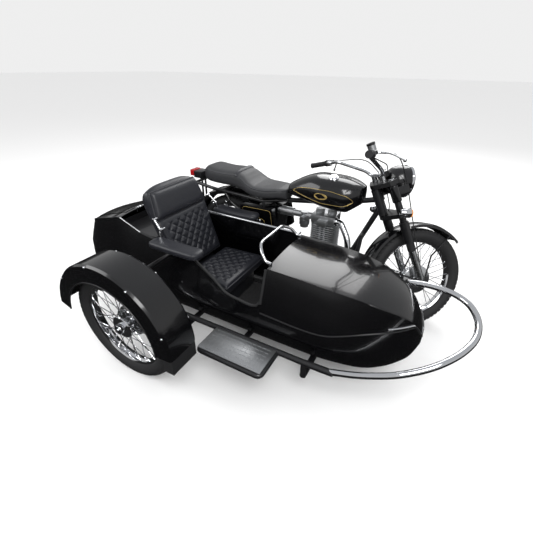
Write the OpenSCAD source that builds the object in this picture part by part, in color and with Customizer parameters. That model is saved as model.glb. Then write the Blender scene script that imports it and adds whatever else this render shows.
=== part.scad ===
// Sidecar motorcycle: a single-cylinder roadster with an open one-seat sidecar on its right.
// Front is +X, left is +Y, up is +Z. The steering rests turned to the left.

/* [Motorcycle] */
// Distance between the front and rear axles with the steering straight
wheelbase = 1370; // [1250:1:1480]
// Outer radius of all three tyres
tyre_r = 328; // [300:1:345]
// Section width of the tyres
tyre_w = 92; // [76:1:104]
// Radius of the rim at its outer lip
rim_r = 255; // [225:1:262]
// Width of the rim
rim_w = 66; // [54:1:72]
// Number of spokes drawn in each wheel
spoke_n = 18; // [12:2:24]
// Angle the steering axis leans back
rake = 27; // [23:0.5:30]
// Angle the steering rests at, turned to the left
steer_rest = 42; // [0:1:43]
// Distance between the fork legs
fork_gap = 196; // [176:1:220]
// Overall width of the handlebar
bar_w = 850; // [780:1:900]
// Length of the fuel tank
tank_l = 500; // [440:1:510]
// Width of the fuel tank
tank_w = 290; // [240:1:320]
// Height of the rider's part of the seat
seat_z = 800; // [760:1:830]

/* [Sidecar] */
// Distance from the motorcycle's centre to the sidecar wheel's centre
track = 1215; // [1150:1:1290]
// How far the sidecar wheel stands in front of the rear wheel
lead = 100; // [60:1:160]
// Distance from the motorcycle's centre to the middle of the body
body_y = 540; // [530:1:570]
// Widest part of the body
body_w = 630; // [580:1:640]
// Width of the hood at its top edges
deck_w = 440; // [380:1:480]
// Height of the body above the ground at its belly
belly_z = 170; // [140:1:200]
// Height of the hood at its rear edge
deck_z = 620; // [580:1:660]
// Foremost point of the nose
nose_x = 1485; // [1430:1:1530]
// Rearmost point of the tail
tail_x = -755; // [-820:1:-700]
// Rear edge of the hood
hood_x = 700; // [660:1:760]
// Wall thickness of the body
wall = 8; // [6:0.5:12]
// Top of the passenger's backrest
back_top = 900; // [860:1:960]
// Foremost point of the bumper hoop
hoop_x = 1700; // [1640:1:1740]
// Radius of the bumper hoop's tube
hoop_r = 16; // [12:0.5:20]
// Radius of the sidecar frame tubes
rail_r = 19; // [16:0.5:24]

/* [Hidden] */
// half width over the sidecar mudguard
guard_hw = 78;
guard_out = track + guard_hw + 18;
ox = (hoop_x + hoop_r * 1.08 + 0.3 + tail_x) / 2;
pivot_x = 385;
boot_x = -380;
gap = 0.3;
// where the grips begin and end, in the steering's own frame
grip_a = [-182, bar_w / 2, 1232];
grip_b = [-93, bar_w / 2 - 150, 1209];
grip_d = (grip_b - grip_a) / norm(grip_b - grip_a);
lever_c = grip_a + grip_d * 150;
lever_tip = lever_c + [70, 150, -70];
lever_d = [4.6, 93, -45] / norm([4.6, 93, -45]);
lever_s = lever_d * [sin(steer_rest), cos(steer_rest), 0];
bar_out = (lever_tip + lever_d * 6) * [sin(steer_rest), cos(steer_rest), 0] + 8.5 * sqrt(1 - lever_s * lever_s);
oy = (bar_out - guard_out) / 2;
head_x = wheelbase + 100;
steer_x = 59.8;
steer_h = 337.6;
yoke_h = 800;
top_h = 985;
cy = -body_y;
hw = body_w / 2;
dw = deck_w / 2;
black = [0.02, 0.02, 0.022];
dark = [0.05, 0.05, 0.055];
steel = [0.72, 0.73, 0.75];
shine = [0.85, 0.86, 0.88];
hide = [0.06, 0.06, 0.07];
tyre_c = [0.04, 0.04, 0.04];

// moves everything from the rear wheel's foot to the middle of the footprint
module at() {
    translate([-ox, -oy, 0]) children();
}

module seg(a, b, r) {
    d = b - a;
    translate(a) rotate([0, acos(d[2] / norm(d)), atan2(d[1], d[0])])
        cylinder(h = norm(d), r = r, $fn = 32);
}

// a round tube through the points p, with a ball in each bend
module tube(p, r) {
    for (i = [0 : len(p) - 2]) seg(p[i], p[i + 1], r);
    if (len(p) > 2) for (i = [1 : len(p) - 2]) {
        d = p[i + 1] - p[i];
        translate(p[i]) rotate([0, acos(d[2] / norm(d)), atan2(d[1], d[0])])
            sphere(r = r * 1.08 + 0.3, $fn = 32);
    }
}

// a shape drawn in the side view (x, z), with its width across y centred on y0
module side(p, y0, w) {
    translate([0, y0 + w / 2, 0]) rotate([90, 0, 0]) linear_extrude(w) polygon(p);
}

// a shape drawn in the end view (y, z), from x0 to x1
module across(p, x0, x1) {
    translate([x0, 0, 0]) rotate([90, 0, 90]) linear_extrude(x1 - x0) polygon(p);
}

module xcyl(x0, x1, y, z, r) {
    translate([x0, y, z]) rotate([0, 90, 0]) cylinder(h = x1 - x0, r = r, $fn = 48);
}

module ycyl(x, y0, y1, z, r) {
    translate([x, y1, z]) rotate([90, 0, 0]) cylinder(h = y1 - y0, r = r, $fn = 48);
}

// the steering's own frame: origin at the foot of its axis, z along the axis
module steered() {
    at() translate([head_x, 0, 0]) rotate([0, -rake, 0]) rotate([0, 0, steer_rest]) children();
}

module wheel_at(x, y) {
    at() translate([x, y, tyre_r]) rotate([90, 0, 0]) children();
}

module front_wheel_at() {
    steered() translate([steer_x, 0, steer_h]) rotate([90, 0, 0]) children();
}

// tyre as a body of revolution about z
module tyre() {
    h = tyre_w / 2;
    w = rim_w / 2;
    rotate_extrude($fn = 96) polygon([[rim_r - 11.6, -w + 14], [rim_r - 1, -w + 6.6], [rim_r + gap, -w + 5.5],
        [rim_r + gap, -w - 1], [rim_r + 14, -h + 4],
        [rim_r + 36, -h], [tyre_r - 26, -h + 3], [tyre_r - 9, -h + 17], [tyre_r, -h + 34],
        [tyre_r, h - 34], [tyre_r - 9, h - 17], [tyre_r - 26, h - 3], [rim_r + 36, h],
        [rim_r + 14, h - 4], [rim_r + gap, w + 1], [rim_r + gap, w - 5.5], [rim_r - 1, w - 6.6],
        [rim_r - 11.6, w - 14]]);
}

// rim, spokes and a full-width hub, about z
module spoked(hub_r, hub_w) {
    h = rim_w / 2;
    rotate_extrude($fn = 96) polygon([[rim_r - 20, -h + 14], [rim_r - 6, -h], [rim_r, -h],
        [rim_r, -h + 5], [rim_r - 12, -h + 12], [rim_r - 15, 0], [rim_r - 12, h - 12],
        [rim_r, h - 5], [rim_r, h], [rim_r - 6, h], [rim_r - 20, h - 14], [rim_r - 26, 0]]);
    for (i = [0 : spoke_n - 1]) {
        s = (i % 2) * 2 - 1;
        rotate([0, 0, i * 360 / spoke_n])
            seg([hub_r - 5, 0, s * (hub_w / 2 - 8)], [rim_r - 18, 12, s * 3], 3.2);
    }
    difference() {
        union() {
            cylinder(h = hub_w, r = hub_r - 12, center = true, $fn = 48);
            for (s = [-1, 1]) translate([0, 0, s * (hub_w / 2 - 8)])
                cylinder(h = 8, r = hub_r, center = true, $fn = 48);
        }
        cylinder(h = hub_w + 2, r = 8 + gap / 6, center = true, $fn = 32);
    }
}

module frame() {
    u = [-sin(rake), 0, cos(rake)];
    h0 = [head_x, 0, 0] + u * (yoke_h + 16);
    h1 = [head_x, 0, 0] + u * (top_h - 4);
    hm = (h0 + h1) / 2;
    color(black) at() difference() {
        union() {
            seg(h0, h1, 27);
            // top tube, downtube and cradle
            tube([hm + [-8, 0, 16], [820, 0, 752], [460, 0, 702], [300, 0, 696]], 17);
            tube([[1070, 0, 760], [950, 0, 440]], 17);
            translate([950, 0, 440]) rotate([0, 20, 0]) sphere(r = 20, $fn = 32);
            for (s = [-1, 1]) {
                tube([[950, 0, 440], [925, s * 60, 300], [880, s * 92, 215], [560, s * 92, 205],
                    [420, s * 92, 235], [pivot_x, s * 100, 330], [300, s * 100, 696]], 12);
                tube([[460, 0, 702], [300, s * 100, 696], [-120, s * 100, 716], [-300, s * 92, 735]], 12);
                tube([[pivot_x - 20, s * 100, 420], [30, s * 104, 640], [-30, s * 100, 712]], 10);
                seg([22, s * 104, 655], [22, s * 117, 655], 10);
            }
            ycyl(pivot_x, -100, 100, 330, 11);
            ycyl(300, -100, 100, 696, 11);
            ycyl(-292, -92, 92, 735, 10);
            ycyl(-20, -100, 100, 726.3, 8);
            // plate behind the engine, and the stand's pivot
            translate([374, -98, 356]) cube([44, 196, 14]);
            ycyl(440, -92, 92, 180, 8);
            for (s = [-1, 1]) seg([440, s * 86, 180], [440, s * 92, 228], 7);
            translate([905 + gap, -28, 300]) cube([30, 56, 20]);
        }
        seg([head_x, 0, 0] + u * (yoke_h - 10), [head_x, 0, 0] + u * (top_h + 40), 15);
    }
}

module engine_block() {
    color(steel) at() difference() {
        union() {
            side([[418 + gap, 262], [860, 240], [905, 300], [870, 392], [720, 400], [640, 400],
                [520, 412], [440, 420], [418 + gap, 380]], 0, 150);
            ycyl(735, -108, 108, 322, 70);
            ycyl(520, -104, 100, 340, 62);
            side([[470, 272], [730, 246], [790, 300], [770, 370], [480, 396], [430, 340]], 88, 46);
            ycyl(560, -122, -90, 310, 44);
        }
        ycyl(735, -120, -98, 322, 34);
    }
}

module engine_barrel() {
    color(steel) at() translate([735, 0, 400]) {
        cylinder(h = 250, r = 58, $fn = 48);
        for (i = [0 : 9]) translate([0, 0, 22 + i * 19]) {
            intersection() {
                cylinder(h = 7, r = 98, $fn = 48);
                translate([-80, -84, 0]) cube([172, 168, 7]);
            }
        }
        translate([-80, -72, 205]) cube([160, 144, 62]);
        for (s = [-1, 1]) translate([s * 42, 0, 262]) cylinder(h = 26, r = 30, $fn = 40);
        for (x = [-8, 22]) translate([x, -68, 0]) cylinder(h = 215, r = 9, $fn = 24);
        translate([-26, -104, 207]) cube([66, 50, 34]);
        for (s = [-1, 1]) translate([s * 46, s * 46, 0]) cylinder(h = 215, r = 7, $fn = 24);
    }
}

module carburettor() {
    color(steel) at() {
        xcyl(500, 655, -20, 628, 24);
        translate([590, -20, 540]) cylinder(h = 112, r = 29, $fn = 40);
        translate([590, -20, 560]) cylinder(h = 36, r = 36, $fn = 40);
        xcyl(412, 506, -20, 628, 31);
        ycyl(590, -84, -20, 618, 15);
        ycyl(620, -56, -20, 618, 18);
    }
}

module exhaust() {
    color(shine) at() {
        tube([[815 + gap, -40, 632], [852, -40, 632], [940, -96, 530], [930, -134, 350],
            [850, -166, 266], [590, -170, 262]], 20);
        translate([600, -170, 262]) rotate([0, -86, 0]) cylinder(h = 640, r1 = 27, r2 = 36, $fn = 48);
        // brackets to the frame
        seg([330, -148, 292], [375.8, -108, 323.6], 7);
        seg([700, -150, 256], [700, -101.6, 217.1], 7);
    }
}

module tank_body(x0, x1) {
    difference() {
        intersection() {
            side([[x0, 778], [x0 + 30, 752], [x1 - 70, 722], [x1 - 10, 756], [x1, 820],
                [x1 - 26, 890], [x1 - 110, 918], [x1 - 230, 920], [x0 + 120, 888],
                [x0 + 20, 832]], 0, tank_w);
            across([[-tank_w / 2 + 8, 715], [-tank_w / 2, 795], [-tank_w / 2 + 22, 860],
                [-tank_w / 2 + 80, 908], [-40, 924], [40, 924], [tank_w / 2 - 80, 908],
                [tank_w / 2 - 22, 860], [tank_w / 2, 795], [tank_w / 2 - 8, 715]],
                x0 - 10, x1 + 20);
            translate([0, 0, 700]) linear_extrude(260) polygon([[x0, -70], [x0 + 130, -tank_w / 2 + 18],
                [x0 + 260, -tank_w / 2], [x1 - 90, -tank_w / 2 + 4], [x1 - 20, -tank_w / 2 + 40],
                [x1, -70], [x1, 70], [x1 - 20, tank_w / 2 - 40], [x1 - 90, tank_w / 2 - 4],
                [x0 + 260, tank_w / 2], [x0 + 130, tank_w / 2 - 18], [x0, 70]]);
        }
        // tunnel over the top tube
        side([[x0 - 20, 690], [x1 + 30, 690], [x1 + 30, 862], [x1 - 60, 822], [x0 + 320, 778],
            [x0 - 20, 744]], 0, 70);
    }
}

module fuel_tank() {
    color(black) at() {
        tank_body(470, 470 + tank_l);
        // saddle block that rests on the top tube
        difference() {
            translate([575, -34, 722]) cube([30, 68, 50]);
            seg([424, 0, 697], [820, 0, 752], 17 + gap);
        }
    }
}

module fuel_cap() {
    color(shine) at() difference() {
        translate([775, -50, 900]) rotate([14, 0, 0]) {
            cylinder(h = 30, r = 31, $fn = 48);
            translate([0, 0, 8]) cylinder(h = 24, r = 24, $fn = 48);
        }
        tank_body(470, 470 + tank_l);
    }
}

module rider_seat() {
    z = seat_z;
    color(hide) at() intersection() {
        side([[466, z - 8], [400, z - 2], [320, z - 8], [235, z - 4], [180, z + 22], [130, z + 58],
            [70, z + 70], [-80, z + 66], [-160, z + 76], [-205, z + 66], [-222, z + 30],
            [-205, z - 30], [-80, z - 44], [80, z - 42], [170, z - 66], [300, z - 88],
            [430, z - 76], [466, z - 50]], 0, 300);
        translate([0, 0, z - 120]) linear_extrude(230) polygon([[466, -62], [420, -98], [330, -138],
            [200, -140], [60, -122], [-130, -122], [-205, -90], [-222, -60], [-222, 60], [-205, 90],
            [-130, 122], [60, 122], [200, 140], [330, 138], [420, 98], [466, 62]]);
    }
}

module side_panels() {
    color(black) at() {
        for (s = [-1, 1]) translate([0, s * 134.5, 0])
            side([[440, 470], [400, 670], [150, 665], [130, 570], [262, 440], [400, 440]], 0, 44);
        // air filter box between the frame tubes
        side([[394, 480], [412 - gap, 480], [412 - gap, 660], [262, 660], [300, 612], [350, 552]], 0, 174);
    }
}

module rear_mudguard() {
    color(black) at() translate([0, 0, tyre_r]) rotate([90, 0, 0]) {
        rotate([0, 0, 22]) rotate_extrude(angle = 146, $fn = 96)
            polygon([[352, -70], [380, -66], [390, -30], [390, 30], [380, 66], [352, 70],
                [352, 65], [376, 61], [385, 28], [385, -28], [376, -61], [352, -65]]);
    }
    // stays and cross tubes between guard and frame
    color(black) at() {
        for (s = [-1, 1]) {
            seg([-292, s * 20, 724.7], [-292, s * 20, 596.4], 8);
            seg([-290, s * 76.4, 470], [0, s * 125, 329], 6);
            ycyl(0, s * 125 - 6, s * 125 + 6, 328, 11);
        }
    }
}

module tail_light() {
    color([0.7, 0.03, 0.04]) at() {
        translate([-385, -46, 756]) cube([44, 92, 56]);
        translate([-342, -36, 745 + gap]) cube([70, 72, 56]);
    }
    color([0.7, 0.03, 0.04]) at() difference() {
        union() {
            translate([-420, -88, 500]) cube([4, 176, 120]);
            translate([-417, -20, 530]) cube([120, 40, 12]);
        }
        translate([0, 0, tyre_r]) rotate([90, 0, 0]) cylinder(h = 100, r = 390 + gap, center = true, $fn = 96);
        // four screw holes of the number plate
        for (y = [-70, 70]) for (z = [515, 605]) translate([-430, y, z]) rotate([0, 90, 0]) cylinder(h = 30, r = 3, $fn = 24);
    }
}

module swingarm() {
    color(black) at() difference() {
        union() {
            for (s = [-1, 1]) {
                seg([pivot_x, s * 82, 330], [340, s * 84, 330], 14);
                tube([[340, s * 84, 330], [180, s * 100, 330], [0, s * 104, 328]], 13);
                translate([0, s * 104, 328]) rotate([90, 0, 0]) cylinder(h = 20, r = 24, center = true, $fn = 32);
                ycyl(-12, s > 0 ? 104 : -132, s > 0 ? 132 : -104, 352, 8);
            }
            ycyl(pivot_x, -87, 87, 330, 22);
        }
        ycyl(pivot_x, -120, 120, 330, 11 + gap);
        ycyl(0, -140, 140, tyre_r, 8 + gap);
    }
    color(steel) at() ycyl(0, -118, 118, tyre_r, 8);
}

module rear_shocks() {
    color(shine) at() for (s = [-1, 1]) difference() {
        a = [-12, s * 144, 352];
        b = [22, s * 144, 655];
        union() {
            seg(a, b, 9);
            seg(a + (b - a) * 0.14, a + (b - a) * 0.6, 23);
            seg(a + (b - a) * 0.55, a + (b - a) * 0.93, 19);
            ycyl(-12, s * 144 - 11.7, s * 144 + 11.7, 352, 13);
            ycyl(22, s * 144 - 12, s * 144 + 12, 655, 13);
            ycyl(22, s > 0 ? 117.3 : -140, s > 0 ? 140 : -117.3, 655, 8);
        }
    }
}

module chain_case() {
    color(black) at() difference() {
        union() {
            side([[-90, 330], [-64, 394], [0, 420], [320, 392], [330, 300], [0, 236], [-64, 262]], 79, 18);
            translate([100, 80, 322]) cube([30, 11, 16]);
        }
        ycyl(0, 60, 100, tyre_r, 12);
        tube([[340, 84, 330], [180, 100, 330], [0, 104, 328]], 13 + gap);
    }
}

module foot_controls() {
    color(steel) at() {
        // right hanger over the silencer, left hanger under the cradle
        ycyl(376, -150, -112 - gap, 370, 8);
        seg([377, -140, 369], [455, -166, 352], 7.4);
        ycyl(455, -212, -150, 352, 14);
        ycyl(440, 104 + gap, 153, 231, 8);
        seg([440, 146, 231], [455, 176, 345], 7.4);
        ycyl(455, 158, 240, 352, 14);
        // brake pedal and gear pedal
        xcyl(469 + gap, 690, -176, 348, 6);
        translate([676, -216, 340]) cube([44, 50, 14]);
        ycyl(600, 111 + gap, 164, 330, 8);
        xcyl(600, 716, 158, 330, 5.6);
        ycyl(716, 150, 208, 330, 9);
    }
}

module centre_stand() {
    color(black) at() {
        difference() {
            ycyl(440, -74, 74, 180, 13);
            ycyl(440, -90, 90, 180, 8 + gap / 6);
        }
        for (s = [-1, 1]) {
            tube([[424, s * 62, 175], [350, s * 88, 151], [290, s * 104, 134]], 10);
            translate([270, s * 104 - 16, 124]) cube([46, 32, 12]);
        }
        ycyl(350, -84, 84, 151, 7);
    }
}

module rear_tyre() { color(tyre_c) wheel_at(0, 0) tyre(); }
module rear_rim() { color(shine) wheel_at(0, 0) spoked(82, 128); }
module front_tyre() { color(tyre_c) front_wheel_at() tyre(); }
module front_rim() { color(shine) front_wheel_at() spoked(82, 112); }
module sidecar_tyre() { color(tyre_c) wheel_at(lead, -track) tyre(); }
module sidecar_rim() { color(shine) wheel_at(lead, -track) spoked(60, 112); }

// stem, yokes and legs, grown by c
module fork_body(c) {
    g = fork_gap / 2;
    for (h = [yoke_h - 16, top_h]) translate([0, 0, h - c]) linear_extrude(26 + 2 * c)
        polygon([[-20, -20], [steer_x - 24, -g - 24], [steer_x + 26, -g - 24],
            [steer_x + 26, g + 24], [steer_x - 24, g + 24], [-20, 20]]);
    translate([0, 0, yoke_h - 10]) cylinder(h = top_h - yoke_h + 20, r = 14 + c, $fn = 32);
    for (s = [-1, 1]) translate([steer_x, s * g, 0]) {
        translate([0, 0, steer_h - 4]) cylinder(h = 290, r = 22 + c, $fn = 40);
        translate([0, 0, steer_h + 280]) cylinder(h = 130, r = 28 + c, $fn = 40);
        translate([0, 0, steer_h + 400]) cylinder(h = top_h - steer_h - 396, r = 20 + c, $fn = 40);
    }
}

module fork() {
    g = fork_gap / 2;
    color(black) steered() {
        difference() {
            union() {
                fork_body(0);
                for (s = [-1, 1]) translate([steer_x, s * g, steer_h]) rotate([90, 0, 0])
                    cylinder(h = 34, r = 25, center = true, $fn = 40);
            }
            translate([steer_x, 0, steer_h]) rotate([90, 0, 0])
                cylinder(h = fork_gap + 60, r = 8 + gap, center = true, $fn = 32);
        }
        translate([steer_x, 0, steer_h]) rotate([90, 0, 0])
            cylinder(h = fork_gap + 50, r = 8, center = true, $fn = 32);
    }
}

module headlight() {
    g = fork_gap / 2;
    color(black) steered() difference() {
        union() {
            translate([132, 0, 982]) rotate([0, rake, 0]) rotate([0, 90, 0]) {
                cylinder(h = 66, r = 92, $fn = 64);
                translate([0, 0, -58]) cylinder(h = 60, r1 = 66, r2 = 91, $fn = 64);
                translate([0, 0, 62]) cylinder(h = 16, r = 97, $fn = 64);
            }
            for (s = [-1, 1]) translate([steer_x, s * g, 880]) cylinder(h = 96, r = 27, $fn = 40);
            for (s = [-1, 1]) translate([steer_x, s * g - 15, 900]) cube([90, 30, 60]);
        }
        fork_body(gap);
    }
}

module handlebar() {
    m = [1, -1, 1];
    a = grip_a;
    b = grip_b;
    p = [[-80, 216, 1202], [24, 96, 1090], [38, 70, 1052]];
    color(shine) steered() {
        tube([[a[0], -a[1], a[2]], [b[0], -b[1], b[2]], [p[0][0], -p[0][1], p[0][2]],
            [p[1][0], -p[1][1], p[1][2]], [p[2][0], -p[2][1], p[2][2]], p[2], p[1], p[0], b, a], 11);
        for (s = [-1, 1]) translate([38, s * 48, top_h + 26 + gap / 3]) cylinder(h = 42, r = 17, $fn = 32);
    }
}

module grips() {
    color(dark) steered() for (s = [0, 1]) mirror([0, s, 0]) difference() {
        union() {
            seg(grip_a - grip_d * 5, grip_a + grip_d * 122, 17);
            seg(grip_a + grip_d * 122, grip_a + grip_d * 137, 22);
        }
        seg(grip_a - grip_d * gap, grip_a + grip_d * 150, 11 + gap / 3);
    }
}

module hand_levers() {
    c = lever_c;
    color(steel) steered() for (s = [0, 1]) mirror([0, s, 0]) difference() {
        union() {
            seg(c - grip_d * 10.5, c + grip_d * 10.5, 22);
            seg(c + [16, 0, 0], c + [58, 2, -8], 6.4);
            seg(c + [54, -6, -6], c + [66, 64, -27], 5.7);
            seg(c + [65.4, 57, -25], lever_tip, 6.2);
            seg(lever_tip - lever_d * 8, lever_tip + lever_d * 6, 8.5);
            if (s == 1) translate(c + grip_d * 12 + [10, 0, 14]) cylinder(h = 42, r = 21, $fn = 32);
        }
        seg(grip_a, grip_b, 11 + gap / 3);
    }
}

module indicators() {
    color(shine) steered() difference() {
        for (s = [-1, 1]) {
            seg([steer_x, s * 100, 832], [42, s * 172, 824], 7);
            translate([14, s * 176, 836]) rotate([0, 90 + rake, 0]) {
                cylinder(h = 30, r1 = 18, r2 = 27, $fn = 40);
                translate([0, 0, 30]) cylinder(h = 34, r = 27, $fn = 40);
            }
        }
        fork_body(gap);
    }
}

module front_mudguard() {
    color(black) steered() difference() {
        union() {
            translate([steer_x, 0, steer_h]) rotate([90, rake, 0])
                rotate([0, 0, 46]) rotate_extrude(angle = 122, $fn = 96)
                    polygon([[340, -60], [356, -57], [364, -28], [364, 28], [356, 57], [340, 60],
                        [340, 55], [352, 52], [359, 26], [359, -26], [352, -52], [340, -55]]);
            translate([steer_x, 0, steer_h]) for (s = [-1, 1]) {
                // stays from the axle ends, and a bridge to the legs
                tube([[4, s * 120, 4], [110, s * 96, 130], [290, s * 58, 180]], 5);
                tube([[-4, s * 120, 4], [-130, s * 96, 120], [-280, s * 58, 196]], 5);
                seg([0, s * 80, 342], [0, s * 40, 350], 10);
                rotate([90, 0, 0]) translate([0, 0, -s * 119]) cylinder(h = 7, r = 13, center = true, $fn = 24);
            }
        }
        fork_body(gap);
        translate([steer_x, 0, steer_h]) rotate([90, 0, 0]) {
            cylinder(h = 300, r = 8 + gap, center = true, $fn = 32);
            cylinder(h = fork_gap + 34 + 2 * gap, r = 25 + gap, center = true, $fn = 40);
        }
    }
}

// plan outline of the body, set in by t
function plan(t) = [[tail_x + t, -205 + t], [tail_x + 100, -265 + t], [-380, -hw + 8 + t],
    [1020, -hw + t], [1240, -hw + 48 + t], [1360, -hw + 120 + t], [nose_x - 45 - t * 0.6, -hw + 218 + t * 0.6],
    [nose_x - t, -75 + t * 0.4], [nose_x - t, 75 - t * 0.4], [nose_x - 45 - t * 0.6, hw - 218 - t * 0.6],
    [1360, hw - 120 - t], [1240, hw - 48 - t], [1020, hw - t], [-380, hw - 8 - t],
    [tail_x + 100, 265 - t], [tail_x + t, 205 - t]];

// side outline of the body, set in by t
function outline(t) = [[tail_x + t, 345], [tail_x + t, deck_z - 70 - t], [tail_x + 140, deck_z - 18 - t],
    [boot_x, deck_z + 46 - t], [-200, deck_z + 2 - t], [hood_x, deck_z - t], [1100, deck_z - 26 - t],
    [1310, deck_z - 70 - t], [nose_x - 52 - t, deck_z - 132 - t], [nose_x - 6 - t, 340], [nose_x - t, 268],
    [nose_x - 60 - t, 205], [nose_x - 170 - t, belly_z + t], [-480, belly_z + t], [tail_x + 40 + t, 250]];

// half width of the body's outside at height z, above the bead
function half(z) = hw - 12 - (z - 370) * (hw - 12 - dw - 6) / (deck_z + 5 - 370);

// end outline of the body, set in by t
function girth(t) = [[-hw + 95 + t, belly_z + t], [-hw + 10 + t, belly_z + 70], [-hw + t, belly_z + 150],
    [-half(370) + t, 370], [-half(deck_z + 5) + t, deck_z + 5], [-dw + 55 + t, deck_z + 50 - t],
    [dw - 55 - t, deck_z + 50 - t], [half(deck_z + 5) - t, deck_z + 5], [half(370) - t, 370],
    [hw - t, belly_z + 150], [hw - 10 - t, belly_z + 70], [hw - 95 - t, belly_z + t]];

module hull_solid(t) {
    intersection() {
        side(outline(t), 0, body_w + 40);
        translate([0, 0, 100]) linear_extrude(700) polygon(plan(t));
        across(girth(t), tail_x - 10, nose_x + 10);
    }
}

module shell() {
    difference() {
        hull_solid(0);
        hull_solid(wall);
    }
}

// the part of space ahead of the hood's rear edge and above its bead line
module hood_zone(t) {
    side([[hood_x - t, 800], [hood_x - t, 385 - t], [1040, 375 - t], [1250, 425 - t],
        [nose_x + 40, 440 - t], [nose_x + 40, 800]], 0, 900);
}

// the gunwale's height on the entry side
function gunwale() = [[boot_x, deck_z + 44], [-200, deck_z - 14], [190, deck_z - 55], [265, deck_z - 90],
    [390, 470], [470, 422], [650, 404], [684, 424], [hood_x + 2, 470]];

module boot_cut(c) {
    translate([tail_x + 60 - c, -150 - c, deck_z - 110]) cube([-460 - tail_x + 2 * c, 300 + 2 * c, 300]);
}

module sidecar_tub() {
    g = gunwale();
    color(black) at() translate([0, cy, 0]) difference() {
        union() {
            shell();
            // bulkhead in front of the boot
            intersection() {
                hull_solid(wall / 2);
                translate([boot_x - wall, -400, 0]) cube([wall, 800, 900]);
            }
        }
        hood_zone(0);
        // cockpit, open above the far gunwale
        side([[boot_x, 900], [boot_x, deck_z + 44], [-200, deck_z], [hood_x + 2, deck_z - 2],
            [hood_x + 2, 900]], 0, 700);
        translate([boot_x, wall - half(deck_z + 5), 560])
            cube([hood_x + 2 - boot_x, 2 * half(deck_z + 5) - 2 * wall, 300]);
        // entry, open above the near gunwale
        side(concat(g, [[hood_x + 2, 900], [boot_x, 900]]), -250, 300);
        boot_cut(0);
    }
    // sloping panel behind the seat, from the floor up to the shelf in front of the boot
    color(black) at() translate([0, cy, 0]) intersection() {
        hull_solid(wall / 2);
        side([[8, belly_z], [12, 352], [-20.5, 398], [-61, 560], [-75.5, 600], [boot_x, 600],
            [boot_x, 592], [-82, 592], [-69, 558], [-29, 394], [4, 350], [0, belly_z]], 0, 2 * half(600) - wall);
    }
    // boot hinge rod on two posts
    color(black) at() translate([0, cy, 0]) {
        ycyl(boot_x - 14, -70, 70, deck_z + 56, 4);
        for (s = [-1, 1]) translate([boot_x - 20, s * 66 - 4, deck_z + 30]) cube([12, 8, 30]);
    }
}

module sidecar_hood() {
    color(black) at() translate([0, cy, 0]) intersection() {
        shell();
        hood_zone(-gap);
    }
}

module cockpit_trim() {
    g = gunwale();
    // edging pressed over the near gunwale
    color(dark) at() translate([0, cy, 0])
        tube([for (q = [g[1], g[2], g[3], g[4], g[5], g[6]]) [q[0], -half(q[1]) + wall / 2, q[1]],
            [690, -half(440) + wall / 2, 440], [690, -half(deck_z) + wall / 2, deck_z]], 9);
}

module grab_rail() {
    r = half(deck_z) - wall / 2;
    color(shine) at() translate([0, cy, 0]) {
        tube([[hood_x + 8, -r + 30, deck_z + 9.3], [hood_x - 26, -r + 30, deck_z + 9.3],
            [644, -r + 40, deck_z + 48], [604, -r + 90, deck_z + 78],
            [604, r - 90, deck_z + 78], [644, r - 40, deck_z + 48],
            [hood_x - 26, r - 30, deck_z + 9.3], [hood_x + 8, r - 30, deck_z + 9.3]], 9);
        // rail along the far gunwale
        seg([-190, r, deck_z + 8.3], [hood_x - 52, r, deck_z + 6.4], 8);
    }
}

module seat_back() {
    color(hide) at() translate([0, cy, 0]) intersection() {
        side([[20, 352], [60, 352], [110, 395], [84, 470], [40, 600], [-10, 750], [-42, 840],
            [-80, 880], [-130, back_top], [-180, 880], [-180, 820], [-110, 700], [-60, 560], [-20, 400]], 0, 480);
        across([[-206, 345], [-206, 640], [-232, 690], [-234, 800], [-205, 868], [-150, back_top],
            [150, back_top], [205, 868], [234, 800], [232, 690], [206, 640], [206, 345]], -220, 260);
    }
}

module seat_cushion() {
    color(hide) at() translate([0, cy, 0]) {
        side([[116, 335], [390, 318], [420, 335], [424, 390], [400, 424], [330, 432], [130, 404]], 0, 440);
        translate([20, -180, belly_z + wall + gap]) cube([340, 360, 330 - belly_z - wall - gap]);
    }
}

module armrests() {
    color(hide) at() translate([0, cy, 0]) for (s = [0, 1]) mirror([0, s, 0]) {
        translate([-15, 254, 606]) cube([350, 104, 44]);
        tube([[20, 236, 690], [20, 268, 690], [20, 280, 630]], 8);
        seg([-30, 233 + gap, 740], [-30, 262, 740], 7);
        tube([[-30, 256, 740], [20, 268, 690]], 7);
    }
}

module floor_mat() {
    color(dark) at() translate([0, cy, 0])
        translate([370, -195, belly_z + wall + gap]) cube([640, 390, 6]);
}

module boot_lid() {
    color(black) at() translate([0, cy, 0]) difference() {
        union() {
            intersection() {
                hull_solid(0);
                translate([tail_x + 65, -145, deck_z - 110]) cube([-470 - tail_x, 290, 300]);
            }
            // knuckles on the hinge rod
            for (s = [-1, 1]) {
                ycyl(boot_x - 14, s * 40 - 14, s * 40 + 14, deck_z + 56, 8);
                side([[boot_x - 12, deck_z + 50], [boot_x - 12, deck_z + 62], [boot_x - 26, deck_z + 54],
                    [boot_x - 106, deck_z + 24], [boot_x - 106, deck_z + 4], [boot_x - 26, deck_z + 38]], s * 40, 24);
            }
        }
        hull_solid(wall);
        ycyl(boot_x - 14, -80, 80, deck_z + 56, 4.1);
    }
}

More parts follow.
